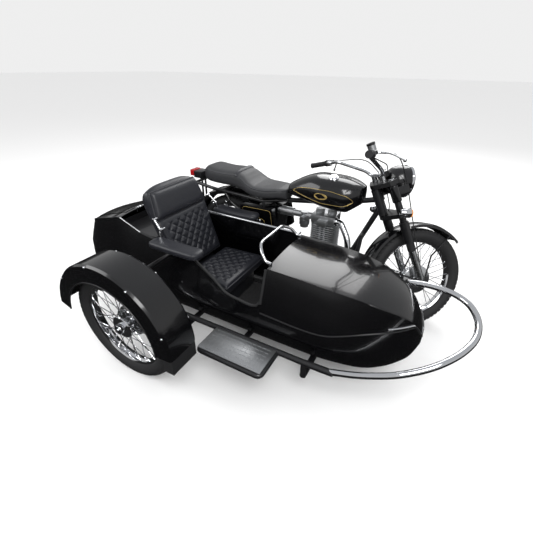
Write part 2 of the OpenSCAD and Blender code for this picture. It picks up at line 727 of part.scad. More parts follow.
module sidecar_frame() {
    z = belly_z - rail_r - gap;
    yr = -925;
    color(black) at() {
        for (s = [-1, 1]) seg([-330, cy + s * 150, z], [1180, cy + s * 150, z], rail_r);
        for (x = [-300, 1000]) ycyl(x, x > 0 ? yr : cy - 170, cy + 170, z, rail_r - 2);
        ycyl(230, -track + 96, cy + 170, z, rail_r - 2);
        ycyl(600, yr, cy + 170, z, rail_r - 2);
        // outer rail at step height, on risers
        seg([210, yr, 245], [1040, yr, 245], 16);
        for (x = [230, 600, 1000]) seg([x, yr, z], [x, yr, 245], 15);
        // struts to the motorcycle
        tube([[480, cy + 150, z], [480, cy + hw + 12, z], [480, -126, 222], [480, -104 - gap, 222]], 15);
        tube([[835, cy + 150, z], [835, cy + hw + 12, z], [835, -126, 213.6], [835, -104 - gap, 213.6]], 15);
        ycyl(1000, cy + 170, -204, z, 13);
        seg([1000, -214, z - 6], [1000, -50, 581], 13.7);
        ycyl(1000, -64, -17 - gap, 573, 12.3);
    }
}

module sidecar_axle() {
    y = -track + 112;
    color(black) at() {
        ycyl(lead, -track - 66, y + 22, tyre_r, 8);
        ycyl(lead, y - 20, y + 20, tyre_r, 30);
        seg([236, y, 190], [lead, y, tyre_r], 16);
        ycyl(236, y - 20, y + 20, 191.5, 24);
        seg([lead, y, tyre_r], [60, y, 540], 14);
        ycyl(60, y - 18, cy - half(500) - gap, 540, 12);
    }
}

module step_plate() {
    y0 = -925 - 16 - gap;
    color(steel) at() {
        translate([484, -1112, 259 + gap]) cube([368, 168, 7]);
        for (x = [484, 852]) {
            ycyl(x, -1126, y0, 245, 14);
        }
        xcyl(484, 852, -1112, 245, 13.4);
    }
}

module bumper_hoop() {
    color(shine) at() {
        tube([[1040 + gap, -925, 245], [1110, -925, 245], [1260, -912, 285], [1420, -872, 335],
            [1550, -800, 385], [1645, -700, 425], [hoop_x, -585, 452], [hoop_x, -470, 474],
            [1655, -372, 490], [1570, -322, 500], [1440, -308, 500], [1345, -308, 484]], hoop_r);
    }
}

module sidecar_mudguard() {
    g = guard_hw;
    color(black) at() {
        translate([lead, -track, tyre_r]) rotate([90, 0, 0])
            rotate_extrude(angle = 170, $fn = 96)
                polygon([[300, -g - 18], [386, -g - 12], [394, -g], [394, g], [386, g + 12], [300, g + 18],
                    [300, g + 13], [381, g + 7], [388, g - 4], [388, -g + 4], [381, -g - 7], [300, -g - 13]]);
        // inner stays
        for (a = [52, 152]) seg([lead + 330 * cos(a), -track + 92, tyre_r + 330 * sin(a)],
            [lead + 30.9 * cos(a), -track + 112, tyre_r + 30.9 * sin(a)], 7);
    }
}

module guard_box() {
    color(dark) at() translate([lead + 334, -track - 84, 238]) cube([56, 168, 90 - gap]);
}

frame();
engine_block();
engine_barrel();
carburettor();
exhaust();
fuel_tank();
fuel_cap();
rider_seat();
side_panels();
rear_mudguard();
tail_light();
swingarm();
rear_shocks();
chain_case();
foot_controls();
centre_stand();
rear_tyre();
rear_rim();
fork();
headlight();
handlebar();
grips();
hand_levers();
indicators();
front_mudguard();
front_tyre();
front_rim();
sidecar_frame();
sidecar_axle();
sidecar_tub();
sidecar_hood();
cockpit_trim();
grab_rail();
seat_back();
seat_cushion();
armrests();
floor_mat();
boot_lid();
step_plate();
bumper_hoop();
sidecar_mudguard();
guard_box();
sidecar_tyre();
sidecar_rim();
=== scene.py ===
import math
import bpy
from mathutils import Matrix, Vector
from mathutils.bvhtree import BVHTree


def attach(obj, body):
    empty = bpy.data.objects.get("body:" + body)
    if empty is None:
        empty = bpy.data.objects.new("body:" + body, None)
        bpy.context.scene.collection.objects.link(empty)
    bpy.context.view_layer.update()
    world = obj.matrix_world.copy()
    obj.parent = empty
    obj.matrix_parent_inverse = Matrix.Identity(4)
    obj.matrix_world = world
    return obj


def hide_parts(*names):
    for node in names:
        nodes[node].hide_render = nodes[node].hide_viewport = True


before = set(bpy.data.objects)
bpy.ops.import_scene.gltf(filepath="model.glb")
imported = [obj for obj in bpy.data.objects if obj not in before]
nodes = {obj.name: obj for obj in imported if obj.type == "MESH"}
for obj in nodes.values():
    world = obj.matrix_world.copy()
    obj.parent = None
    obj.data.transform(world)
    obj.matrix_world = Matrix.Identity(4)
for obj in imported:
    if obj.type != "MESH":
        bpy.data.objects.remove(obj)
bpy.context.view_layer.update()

# machine: all sizes are in millimetres from the rear tyre's ground contact
machine = {"shiftX": 481.29, "shiftY": -496.314, "rake": 27, "steer": 42, "head": 1470,
           "tyreR": 328, "rimR": 255, "lead": 100, "track": 1215, "bodyY": 540}
cy = -machine["bodyY"]


def put(p):
    return Vector(((p[0] - machine["shiftX"]) / 1000, (p[1] - machine["shiftY"]) / 1000, p[2] / 1000))


placed = Matrix.Translation(put((0, 0, 0))) @ Matrix.Scale(0.001, 4)
bodyPlaced = Matrix.Translation(put((0, cy, 0))) @ Matrix.Scale(0.001, 4)
steered = (Matrix.Translation(put((machine["head"], 0,
                                   0))) @ Matrix.Rotation(math.radians(-machine["rake"]), 4, "Y")
           @ Matrix.Rotation(math.radians(machine["steer"]), 4, "Z") @ Matrix.Scale(0.001, 4))


# materials
def material(name, colour, rough=0.5, metal=0.0, coat=0.0, bump=0.0, size=200.0, mottle=0.0, kind="noise",
             glow=0.0):
    m = bpy.data.materials.new(name)
    m.use_nodes = True
    tree = m.node_tree
    b = tree.nodes["Principled BSDF"]
    b.inputs["Base Color"].default_value = (*colour, 1)
    b.inputs["Roughness"].default_value = rough
    b.inputs["Metallic"].default_value = metal
    b.inputs["Coat Weight"].default_value = coat
    b.inputs["Coat Roughness"].default_value = 0.04
    if glow:
        b.inputs["Transmission Weight"].default_value = glow
    if bump or mottle:
        place = tree.nodes.new("ShaderNodeTexCoord")
        tex = tree.nodes.new("ShaderNodeTexVoronoi" if kind == "cells" else "ShaderNodeTexNoise")
        tex.inputs["Scale"].default_value = size
        tree.links.new(place.outputs["Object"], tex.inputs["Vector"])
        out = tex.outputs["Distance"] if kind == "cells" else tex.outputs["Fac"]
        if bump:
            n = tree.nodes.new("ShaderNodeBump")
            n.inputs["Strength"].default_value = bump
            n.inputs["Distance"].default_value = 0.001
            tree.links.new(out, n.inputs["Height"])
            tree.links.new(n.outputs["Normal"], b.inputs["Normal"])
        if mottle:
            span = tree.nodes.new("ShaderNodeMapRange")
            span.inputs["To Min"].default_value = max(0.02, rough - mottle)
            span.inputs["To Max"].default_value = rough + mottle
            tree.links.new(out, span.inputs["Value"])
            tree.links.new(span.outputs["Result"], b.inputs["Roughness"])
    return m


paint = material("paint", (0.002, 0.002, 0.0025), 0.2, 0, 0.7, mottle=0.04, size=6)
satin = material("satinBlack", (0.008, 0.008, 0.009), 0.34, 0, 0.35, mottle=0.08, size=14)
chrome = material("chrome", (0.86, 0.87, 0.89), 0.07, 1, mottle=0.03, size=9)
alloy = material("alloy", (0.52, 0.53, 0.54), 0.42, 1, bump=0.18, size=420, mottle=0.1)
polished = material("polished", (0.7, 0.71, 0.72), 0.22, 1, mottle=0.06, size=30)
rubber = material("rubber", (0.012, 0.012, 0.013), 0.62, bump=0.15, size=300)
tyreRubber = material("tyreRubber", (0.014, 0.014, 0.015), 0.7, bump=0.2, size=240, mottle=0.08)
hide = material("hide", (0.017, 0.018, 0.023), 0.36, 0, 0.12, bump=0.3, size=620, mottle=0.07, kind="cells")
vinyl = material("vinyl", (0.034, 0.035, 0.038), 0.46, 0, 0.05, bump=0.3, size=700, mottle=0.06, kind="cells")
piping = material("piping", (0.03, 0.031, 0.036), 0.35)
gold = material("gold", (0.75, 0.55, 0.2), 0.35, 0.8)
redLens = material("redLens", (0.4, 0.008, 0.01), 0.12, 0, 0.6)
amber = material("amber", (0.85, 0.28, 0.02), 0.12, 0, 0.6)
glass = material("glass", (0.9, 0.93, 0.95), 0.05, 0, 0.5, glow=0.85)
dial = material("dial", (0.8, 0.8, 0.78), 0.5)
matRubber = material("matRubber", (0.03, 0.03, 0.031), 0.75, bump=0.4, size=90)
plate = material("plate", (0.5, 0.51, 0.52), 0.36, 1, bump=0.1, size=260, mottle=0.08)
floorPaint = material("floorPaint", (0.97, 0.97, 0.97), 0.8)

finish = {"frame": satin, "engine_block": alloy, "engine_barrel": alloy, "carburettor": alloy,
          "exhaust": chrome,
          "fuel_tank": paint, "fuel_cap": chrome, "rider_seat": vinyl, "side_panels": paint,
          "rear_mudguard": paint,
          "tail_light": satin, "swingarm": satin, "rear_shocks": chrome, "chain_case": satin,
          "foot_controls": polished, "centre_stand": satin, "rear_tyre": tyreRubber, "rear_rim": chrome,
          "fork": satin, "headlight": paint, "handlebar": chrome, "grips": rubber, "hand_levers": polished,
          "indicators": chrome, "front_mudguard": paint, "front_tyre": tyreRubber, "front_rim": chrome,
          "sidecar_frame": satin, "sidecar_axle": satin, "sidecar_tub": paint, "sidecar_hood": paint,
          "cockpit_trim": rubber, "grab_rail": chrome, "seat_back": hide, "seat_cushion": hide,
          "armrests": hide,
          "floor_mat": matRubber, "boot_lid": paint, "step_plate": plate, "bumper_hoop": chrome,
          "sidecar_mudguard": paint, "guard_box": rubber, "sidecar_tyre": tyreRubber, "sidecar_rim": chrome}
for name, m in finish.items():
    o = nodes[name]
    o.data.materials.clear()
    o.data.materials.append(m)
    for f in o.data.polygons:
        f.use_smooth = True
    weld = o.modifiers.new("weld", "WELD")
    weld.merge_threshold = 0.00005
    edge = o.modifiers.new("edge", "EDGE_SPLIT")
    edge.split_angle = math.radians(28)
print("materials are set")


# geometry: every maker gives (points, faces) in millimetres
def revolve(profile, n, around="Y", start=0.0, sweep=2 * math.pi, middle=(0, 0, 0)):
    closed = sweep > 6.28
    count = n if closed else n + 1
    pts, faces = [], []
    for i in range(count):
        a = start + sweep * i / n
        for r, w in profile:
            p = {"Y": (r * math.cos(a), w, r * math.sin(a)), "Z": (r * math.cos(a), r * math.sin(a), w),
                 "X": (w, r * math.cos(a), r * math.sin(a))}[around]
            pts.append(tuple(p[k] + middle[k] for k in range(3)))
    k = len(profile)
    for i in range(n):
        j = (i + 1) % count
        for q in range(k - 1):
            faces.append((i * k + q, i * k + q + 1, j * k + q + 1, j * k + q))
    return pts, faces


def rounded(path, fillet, steps=6):
    out = [Vector(path[0])]
    for a, b, c in zip(path, path[1:], path[2:]):
        a, b, c = Vector(a), Vector(b), Vector(c)
        d = min(fillet, (a - b).length * 0.48, (c - b).length * 0.48)
        p, q = b + (a - b).normalized() * d, b + (c - b).normalized() * d
        for i in range(steps + 1):
            t = i / steps
            out.append(p * (1 - t) ** 2 + b * 2 * t * (1 - t) + q * t * t)
    out.append(Vector(path[-1]))
    return out


def pipe(path, r, fillet=60, n=20, flat=1.0):
    line = rounded(path, fillet) if fillet else [Vector(p) for p in path]
    rings = []
    side = None
    for i, p in enumerate(line):
        d = (line[min(i + 1, len(line) - 1)] - line[max(i - 1, 0)]).normalized()
        if side is None:
            side = d.orthogonal().normalized()
        side = (side - d * side.dot(d)).normalized()
        up = d.cross(side)
        s = r(i / (len(line) - 1)) if callable(r) else r
        rings.append([tuple(p + side * s * math.cos(a) + up * s * flat * math.sin(a))
                      for a in (2 * math.pi * k / n for k in range(n))])
    return loft(rings)


def loft(rings, capped=True, closed=True):
    n = len(rings[0])
    pts = [p for ring in rings for p in ring]
    faces = []
    for i in range(len(rings) - 1):
        for k in range(n if closed else n - 1):
            j = (k + 1) % n
            faces.append((i * n + k, i * n + j, (i + 1) * n + j, (i + 1) * n + k))
    if capped:
        faces.append(tuple(reversed(range(n))))
        faces.append(tuple(range(len(pts) - n, len(pts))))
    return pts, faces


def block(lo, hi):
    pts = [(x, y, z) for x in (lo[0], hi[0]) for y in (lo[1], hi[1]) for z in (lo[2], hi[2])]
    return pts, [(0, 1, 3, 2), (4, 6, 7, 5), (0, 4, 5, 1), (2, 3, 7, 6), (0, 2, 6, 4), (1, 5, 7, 3)]


def drum(a, b, r, n=28, chamfer=1.5):
    a, b = Vector(a), Vector(b)
    d = (b - a).normalized()
    c = min(chamfer, r * 0.3, (b - a).length * 0.3)
    s = d.orthogonal().normalized()
    u = d.cross(s)
    rings = [[tuple(p + (s * math.cos(t) + u * math.sin(t)) * q) for t in (2 * math.pi * k / n for k in range(n))]
             for p, q in ((a, r - c), (a + d * c, r), (b - d * c, r), (b, r - c))]
    return loft(rings)


def ball(c, r, n=20, squeeze=(1, 1, 1)):
    prof = [(max(0.02, r * math.sin(math.pi * i / n)), -r * math.cos(math.pi * i / n)) for i in range(n + 1)]
    pts, faces = revolve(prof, n * 2, "Z")
    return [tuple(c[k] + p[k] * squeeze[k] for k in range(3)) for p in pts], faces


def piece(name, parts, m, body, where=None, replaces=(), angle=32, bevel=0.0, thick=0.0, subdivide=0):
    mesh = bpy.data.meshes.new(name)
    pts, faces, slots = [], [], []
    for part in parts:
        base = len(pts)
        pts += [tuple(p) for p in part[0]]
        faces += [tuple(base + k for k in f) for f in part[1]]
        slots += [part[2] if len(part) > 2 else 0] * len(part[1])
    mesh.from_pydata(pts, [], faces)
    mesh.transform(where if where is not None else placed)
    for k in (m if isinstance(m, (list, tuple)) else [m]):
        mesh.materials.append(k)
    mesh.polygons.foreach_set("material_index", slots)
    mesh.polygons.foreach_set("use_smooth", [True] * len(faces))
    obj = bpy.data.objects.new(name, mesh)
    bpy.context.scene.collection.objects.link(obj)
    weld = obj.modifiers.new("weld", "WELD")
    weld.merge_threshold = 0.00002
    if thick:
        t = obj.modifiers.new("wall", "SOLIDIFY")
        t.thickness = thick
        t.offset = -1
    if bevel:
        b = obj.modifiers.new("bevel", "BEVEL")
        b.width = bevel
        b.segments = 2
    if subdivide:
        s = obj.modifiers.new("soft", "SUBSURF")
        s.levels = s.render_levels = subdivide
    if angle:
        e = obj.modifiers.new("edge", "EDGE_SPLIT")
        e.split_angle = math.radians(angle)
    bake(obj)
    for n in [replaces] if isinstance(replaces, str) else replaces:
        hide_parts(n)
    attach(obj, body)
    return obj


def bake(obj):
    deps = bpy.context.evaluated_depsgraph_get()
    done = bpy.data.meshes.new_from_object(obj.evaluated_get(deps))
    obj.modifiers.clear()
    obj.data = done


# a tree that repeats what it is given, each copy moved and turned a step on
def repeaterTree():
    t = bpy.data.node_groups.new("repeater", "GeometryNodeTree")
    for name, kind in (("Geometry", "NodeSocketGeometry"), ("Count", "NodeSocketInt"),
                       ("Turn", "NodeSocketVector"),
                       ("Step", "NodeSocketVector"), ("Material", "NodeSocketMaterial")):
        t.interface.new_socket(name, in_out="INPUT", socket_type=kind)
    t.interface.new_socket("Geometry", in_out="OUTPUT", socket_type="NodeSocketGeometry")
    add = t.nodes.new
    entry, leave = add("NodeGroupInput"), add("NodeGroupOutput")
    pts, index = add("GeometryNodePoints"), add("GeometryNodeInputIndex")
    turn, move = add("ShaderNodeVectorMath"), add("ShaderNodeVectorMath")
    inst, real, coat = add("GeometryNodeInstanceOnPoints"), add("GeometryNodeRealizeInstances"), add("GeometryNodeSetMaterial")
    turn.operation = move.operation = "SCALE"
    link = t.links.new
    link(entry.outputs["Count"], pts.inputs["Count"])
    link(entry.outputs["Turn"], turn.inputs[0])
    link(entry.outputs["Step"], move.inputs[0])
    link(index.outputs[0], turn.inputs["Scale"])
    link(index.outputs[0], move.inputs["Scale"])
    link(move.outputs[0], pts.inputs["Position"])
    link(pts.outputs[0], inst.inputs["Points"])
    link(entry.outputs["Geometry"], inst.inputs["Instance"])
    link(turn.outputs[0], inst.inputs["Rotation"])
    link(inst.outputs[0], real.inputs[0])
    link(real.outputs[0], coat.inputs["Geometry"])
    link(entry.outputs["Material"], coat.inputs["Material"])
    link(coat.outputs[0], leave.inputs[0])
    return t


repeater = repeaterTree()


def repeated(name, parts, m, body, count, turn=(0, 0, 0), step=(0, 0, 0), where=None, angle=32):
    mesh = bpy.data.meshes.new(name)
    pts, faces = [], []
    for part in parts:
        base = len(pts)
        pts += part[0]
        faces += [tuple(base + k for k in f) for f in part[1]]
    mesh.from_pydata([tuple(p) for p in pts], [], faces)
    mesh.polygons.foreach_set("use_smooth", [True] * len(faces))
    obj = bpy.data.objects.new(name, mesh)
    bpy.context.scene.collection.objects.link(obj)
    mod = obj.modifiers.new("repeat", "NODES")
    mod.node_group = repeater
    ids = {s.name: s.identifier for s in repeater.interface.items_tree if s.in_out == "INPUT"}
    mod[ids["Count"]] = count
    mod[ids["Turn"]] = [math.radians(v) for v in turn]
    mod[ids["Step"]] = list(step)
    mod[ids["Material"]] = m
    e = obj.modifiers.new("edge", "EDGE_SPLIT")
    e.split_angle = math.radians(angle)
    bake(obj)
    obj.data.transform(where if where is not None else placed)
    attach(obj, body)
    return obj


# wheels
wheel = {"spokes": 36, "spokeR": 2.0, "treadPitches": 64, "treadDepth": 6}


def tyreProfile():
    half, r, rim = 46, machine["tyreR"] - wheel["treadDepth"], machine["rimR"]
    out = [(rim + 0.3, -34)]
    for i in range(25):
        a = math.pi * (i / 24) - math.pi / 2
        w = math.sin(a)
        out.append((rim + 22 + (r - rim - 22) * math.cos(a) ** 0.72 if abs(w) < 0.999 else rim + 22,
                    half * w))
    out.append((rim + 0.3, 34))
    return out + [(rim - 10, 18), (rim - 10, -18), (rim + 0.3, -34)]


def treadHeight(w):
    return machine["rimR"] + 22 + (machine["tyreR"] - wheel["treadDepth"] - machine["rimR"] - 22) * max(
        0.0, 1 - (w / 46) ** 2) ** 0.36


def treadBlock(w0, w1, a0, a1, skew):
    rings = []
    for w, extra in ((w0, 0), (w0 + 1.2, 1), ((w0 + w1) / 2, 1), (w1 - 1.2, 1), (w1, 0)):
        r0 = treadHeight(w)
        t = (w - w0) / (w1 - w0) - 0.5
        ring = []
        for a, top in ((a0, 0), (a0 + 0.003, 1), (a1 - 0.003, 1), (a1, 0)):
            r = r0 - 2 + (wheel["treadDepth"] + 1.6) * (top and extra)
            s = a + skew * t
            ring.append((r * math.cos(s), w, r * math.sin(s)))
        rings.append(ring)
    return loft(rings, closed=False, capped=False)


def buildWheel(tag, centre, body, tyreNode, rimNode, drumSide, hubHalf):
    where = centre
    rim = machine["rimR"]
    base = piece(tag + "Tyre", [revolve(tyreProfile(), 144)], tyreRubber, body, where, tyreNode, angle=60)
    pitch = 2 * math.pi / wheel["treadPitches"]
    blocks = []
    for w0, w1, s0, sk in ((-38, -22, 0.0, 0.02), (-19, -3, 0.5, -0.03), (3, 19, 0.1, 0.03),
                           (22, 38, 0.6, -0.02)):
        blocks.append(treadBlock(w0, w1, s0 * pitch, (s0 + 0.74) * pitch, sk))
    repeated(tag + "Tread", blocks, tyreRubber, body, wheel["treadPitches"],
             turn=(0, -360 / wheel["treadPitches"], 0), where=where, angle=50)
    prof = [(rim - 1, -27), (rim + 12, -33), (rim + 13, -31), (rim + 1, -24), (rim - 9, -15), (rim - 12, 0),
            (rim - 9, 15), (rim + 1, 24), (rim + 13, 31), (rim + 12, 33), (rim - 1, 27), (rim - 16, 17),
            (rim - 20, 0), (rim - 16, -17), (rim - 1, -27)]
    hub = [(10, -hubHalf), (26, -hubHalf), (28, -hubHalf + 4), (30, -34), (62, -32), (66, -28), (62, -24),
           (34, -20),
           (30, 0), (34, 20), (62, 24), (66, 28), (62, 32), (30, 34), (28, hubHalf - 4), (26, hubHalf),
           (10, hubHalf)]
    parts = [revolve(prof, 120), revolve(hub, 48)]
    d = drumSide
    parts.append(revolve([(12, d * 34), (88, d * 33), (92, d * 36), (92, d * 46), (84, d * 50),
                          (40, d * 52), (12, d * 52)], 64) + (1,))
    parts.append(revolve([(80, d * 20), (88, d * 24), (88, d * 33)], 64) + (1,))
    parts.append(drum((0, -hubHalf - 4, 0), (0, hubHalf + 4, 0), 9))
    piece(tag + "Rim", parts, [chrome, polished], body, where, rimNode, angle=30)
    pair = []
    step = 2 * math.pi / wheel["spokes"] * 4
    for k, (s, lean) in enumerate(((-1, 0.5), (1, 0.5), (-1, -0.5), (1, -0.5))):
        a = step * k / 4
        b = a + lean
        pair.append(pipe([(62 * math.cos(b), s * 28, 62 * math.sin(b)),
                          ((rim - 18) * math.cos(a), s * 4, (rim - 18) * math.sin(a))],
                         wheel["spokeR"], fillet=0, n=8))
        pair.append(drum(((rim - 32) * math.cos(a), s * 5, (rim - 32) * math.sin(a)),
                         ((rim - 17) * math.cos(a), s * 4, (rim - 17) * math.sin(a)), 3.6, n=8, chamfer=0.6))
    repeated(tag + "Spokes", pair, chrome, body, wheel["spokes"] // 4, turn=(0, -math.degrees(step), 0),
             where=where)


hubShift = Matrix.Translation(put((0, 0, machine["tyreR"]))) @ Matrix.Scale(0.001, 4)
buildWheel("rear", hubShift, "rear_wheel", "rear_tyre", "rear_rim", -1, 56)
buildWheel("front", steered @ Matrix.Translation((59.8, 0, 337.6)), "front_wheel", "front_tyre",
           "front_rim", -1, 56)
buildWheel("side", Matrix.Translation(put((machine["lead"], -machine["track"],
                                           machine["tyreR"]))) @ Matrix.Scale(0.001, 4),
           "sidecar_wheel", "sidecar_tyre", "sidecar_rim", 1, 56)
print("wheels are built")


# chrome tubes, swept through the CAD's own corners
y0 = cy + 307
piece("hoopTube", [pipe([(1040, -925, 245), (1110, -925, 245), (1260, -912, 285), (1420, -872, 335),
                         (1550, -800, 385),
                         (1645, -700, 425), (1700, -585, 452), (1700, -470, 474), (1655, -372, 490),
                         (1570, -322, 500),
                         (1440, -308, 500), (1345, -308, 484)], 16, 70, 28),
                   pipe([(1000, -925, 245), (1150, -924, 250)], 17.4, 0, 28) + (1,),
                   drum((1345, -300, 484), (1345, -322, 484), 15) + (1,)],
      [chrome, satin], "chassis", replaces="bumper_hoop")
railR = 310 - 84 - 4
piece("grabTube", [pipe([(706, cy - railR + 30, 629), (674, cy - railR + 30, 629),
                         (644, cy - railR + 40, 668),
                         (604, cy - railR + 90, 698), (604, cy + railR - 90, 698),
                         (644, cy + railR - 40, 668),
                         (674, cy + railR - 30, 629), (706, cy + railR - 30, 629)], 9, 34),
                   pipe([(-190, cy + railR, 630), (640, cy + railR, 627)], 8, 0)], chrome, "chassis",
      replaces="grab_rail")

gripA = Vector((-182, 425, 1232))
gripB = Vector((-93, 275, 1209))
gripD = (gripB - gripA).normalized()
leverC = gripA + gripD * 150
leverTip = leverC + Vector((70, 150, -70))
flip = Vector((1, -1, 1))
half = [tuple(gripA), tuple(gripB), (-80, 216, 1202), (24, 96, 1090), (38, 70, 1052)]
bar = half + [(p[0], -p[1], p[2]) for p in reversed(half)]
clamps = [drum((38, s * 48, 1011), (38, s * 48, 1056), 16) + (1,) for s in (-1, 1)]
piece("barTube", [pipe(bar, 11, 46)] + clamps, [chrome, polished], "steering", steered, "handlebar")
grips, controls = [], []
for s in (1, -1):
    f = Vector((1, s, 1))
    a = gripA * f
    d = Vector((gripD.x, gripD.y * s, gripD.z))
    rings = []
    for i in range(25):
        t = -5 + 127 * i / 24
        rings.append((17 if i % 2 else 15.6) if 1 < i < 23 else 18.5)
    line = [a + d * (-5 + 127 * i / 24) for i in range(25)]
    grips.append(pipe(line, lambda t, q=rings: q[min(24, int(t * 24 + 0.5))], 0, 24))
    grips.append(drum(a + d * 122, a + d * 137, 21))
    c = leverC * f
    tip = leverTip * f
    controls += [drum(c - d * 10.5, c + d * 10.5, 21), ball(tip, 9, 10)]
    controls.append(pipe([c + Vector((18, 0, 0)), c + Vector((52, 4 * s, -8)),
                          c + Vector((66, 60 * s, -26)), tip],
                         lambda t: 6.5 - 2 * t, 30, 14, 0.7))
    controls.append(drum(c + Vector((26, 0, -9)), c + Vector((26, 0, 9)), 8) + (1,))
    if s == -1:
        m = c + d * 12 + Vector((10, 0, 14))
        controls += [drum(m, m + Vector((0, 0, 30)), 20) + (2,),
                     drum(m + Vector((0, 0, 30)), m + Vector((0, 0, 42)), 21.5) + (1,)]
piece("gripPair", grips, rubber, "steering", steered, "grips")
piece("leverPair", controls, [polished, satin, alloy], "steering", steered, "hand_levers")

# exhaust: header, tapered silencer, clamp and seam
tilt = math.radians(4)
tailEnd = Vector((600 - 640 * math.cos(tilt), -170, 262 + 640 * math.sin(tilt)))
axis = (tailEnd - Vector((600, -170, 262))).normalized()
silencer = [Vector((600, -170, 262)) + axis * t for t in (0, 30, 90, 200, 560, 600, 632, 638, 640)]
piece("exhaustPipe", [pipe([(812, -40, 632), (852, -40, 632), (940, -96, 530), (930, -134, 350),
                            (850, -166, 266),
                            (590, -170, 262)], 20, 70, 28),
                      loft([[tuple(p + Vector((0, r * math.cos(a), r * math.sin(a)))) for a in
                             (2 * math.pi * k / 36 for k in range(36))]
                            for p, r in zip(silencer, (21, 27, 31, 34, 37, 36, 33, 26, 20))]),
                      drum((600, -170, 262), (618, -170, 261), 24),
                      drum((814, -40, 632), (826, -40, 632), 32),
                      pipe([(330, -148, 292), (376, -108, 324)], 7, 0),
                      pipe([(700, -150, 256), (700, -102, 217)], 7, 0)],
      chrome, "chassis", replaces="exhaust")
print("tubes are built")

# fuel tank: lofted, with painted pinstripes and a blank badge
tank = {"rear": 470, "length": 500, "lineR": 1.3}


def tankSection(t):
    x = tank["rear"] + tank["length"] * t
    w = 145 * (0.46 + 0.54 * min(1, t / 0.5) ** 0.7) if t < 0.5 else 145 * (1 - 0.62 * max(0,
            (t - 0.72) / 0.28) ** 2.4)
    top = 832 + 88 * math.sin(min(1,
                                  t / 0.46) * math.pi / 2) - (40 * ((t - 0.62) / 0.38) ** 2.2 if t > 0.62 else 0)
    bottom = 768 - 46 * min(1, t / 0.7) if t < 0.84 else 722 + 60 * (t - 0.84) / 0.16
    return x, w, top, bottom


def tankRing(t, n=40):
    x, w, top, bottom = tankSection(t)
    pts = []
    for k in range(n):
        a = 2 * math.pi * k / n
        c, s = math.cos(a), math.sin(a)
        y = w * abs(c) ** 0.62 * (1 if c > 0 else -1)
        if s > 0:
            z = bottom + (top - bottom) * (0.42 + 0.58 * abs(s) ** 0.8)
            y *= 1 - 0.1 * abs(s)
        else:
            z = bottom + (top - bottom) * 0.42 * (1 - abs(s) ** 0.5)
        pts.append((x, y, z))
    return pts


spans = [0.012 + 0.976 * i / 36 for i in range(37)]
ends0 = [tuple(Vector(p).lerp(Vector((470, 0, 800)), f)) for f in (0.55,) for p in tankRing(spans[0])]
ends0 = [(471, p[1], p[2]) for p in ends0]
ends1 = [tuple(Vector(p).lerp(Vector((970, 0, 815)), 0.5)) for p in tankRing(spans[-1])]
ends1 = [(969, p[1], p[2]) for p in ends1]
rings = [ends0] + [tankRing(t) for t in spans] + [ends1]
saddle = block((575, -30, 736), (605, 30, 752))
tankObj = piece("tankShell", [loft(rings), saddle], paint, "chassis", replaces="fuel_tank", angle=50)


tankTree = BVHTree.FromObject(tankObj, bpy.context.evaluated_depsgraph_get())


def onTank(t, z, s):
    start = put((tank["rear"] + tank["length"] * t, s * 400, z))
    hit, normal = tankTree.ray_cast(start, Vector((0, -s, 0)))[:2]
    hit = hit + normal * 0.0007 * (1 if normal.y * s > 0 else -1)
    return (hit.x * 1000 + machine["shiftX"], hit.y * 1000 + machine["shiftY"], hit.z * 1000)


stripes = []
for s in (1, -1):
    loop = [(0.1, 812), (0.3, 792), (0.55, 776), (0.82, 778), (0.93, 806), (0.84, 842), (0.62, 858),
            (0.4, 856), (0.2, 840), (0.1, 812)]
    flatLine = rounded([(t * tank["length"], 0, z) for t, z in loop], 22)
    dense = [p.lerp(q, k / 4) for p, q in zip(flatLine,
                                              flatLine[1:]) if (q - p).length > 0.01 for k in range(4)] + [flatLine[-1]]
    stripes.append(pipe([onTank(p.x / tank["length"], p.z, s) for p in dense], tank["lineR"], 0, 8))
    badge = [onTank(0.52 + 0.085 * math.cos(a), 818 + 17 * math.sin(a),
                    s) for a in (2 * math.pi * k / 32 for k in range(32))]
    stripes.append(pipe(badge + badge[:1], 1.6, 0, 8))
    stripes.append(loft([[tuple(Vector(p) + Vector((0, -s * 2, 0))) for p in badge], badge], capped=True))
piece("tankLines", stripes, gold, "chassis")

# panel lines on the side covers
lines = []
for s in (1, -1):
    loop = [(416, 482), (386, 656), (168, 652), (148, 574), (270, 458), (392, 456), (416, 482)]
    lines.append(pipe([(x, s * 156.8, z) for x, z in loop], 1.2, 22, 8))
    lines.append(pipe([(300 + 44 * math.cos(a), s * 156.8,
                        566 + 22 * math.sin(a)) for a in (2 * math.pi * k / 32 for k in range(33))], 1.6, 0,
                      8))
piece("panelLines", lines, gold, "chassis")
for s in (1, -1):
    piece("knob" + ("Left" if s > 0 else "Right"), [drum((300, s * 156, 566), (300, s * 163, 566), 16)],
          chrome, "chassis")

# fuel cap, engine covers and fins
lid = Matrix.Translation(put((775, -50, 900))) @ Matrix.Rotation(math.radians(14), 4,
        "X") @ Matrix.Scale(0.001, 4)
piece("filler", [drum((0, 0, 2), (0, 0, 26), 31, 40, 3), drum((0, 0, 26), (0, 0, 34), 23, 40, 3)], chrome,
      "chassis", lid, "fuel_cap")
barrel = [drum((735, 0, 400), (735, 0, 606), 58, 40), block((655, -72, 606), (815, 72, 664)),
          drum((693, 0, 662), (693, 0, 690), 30), drum((777, 0, 662), (777, 0, 690), 30),
          drum((727, -68, 400), (727, -68, 612), 9), drum((757, -68, 400), (757, -68, 612), 9),
          block((709, -104, 607), (775, -56, 640)), drum((812, -40, 632), (817, -40, 632), 34)]
piece("barrelCore", barrel, alloy, "chassis", replaces="engine_barrel", bevel=0.0025)
fin = [[(x, y, z) for x, y in ((-80, -62), (-58, -84), (70, -84), (92, -60), (92, 60), (70, 84), (-58, 84),
                               (-80, 62))] for z in (0, 1.5, 4.5, 6)]
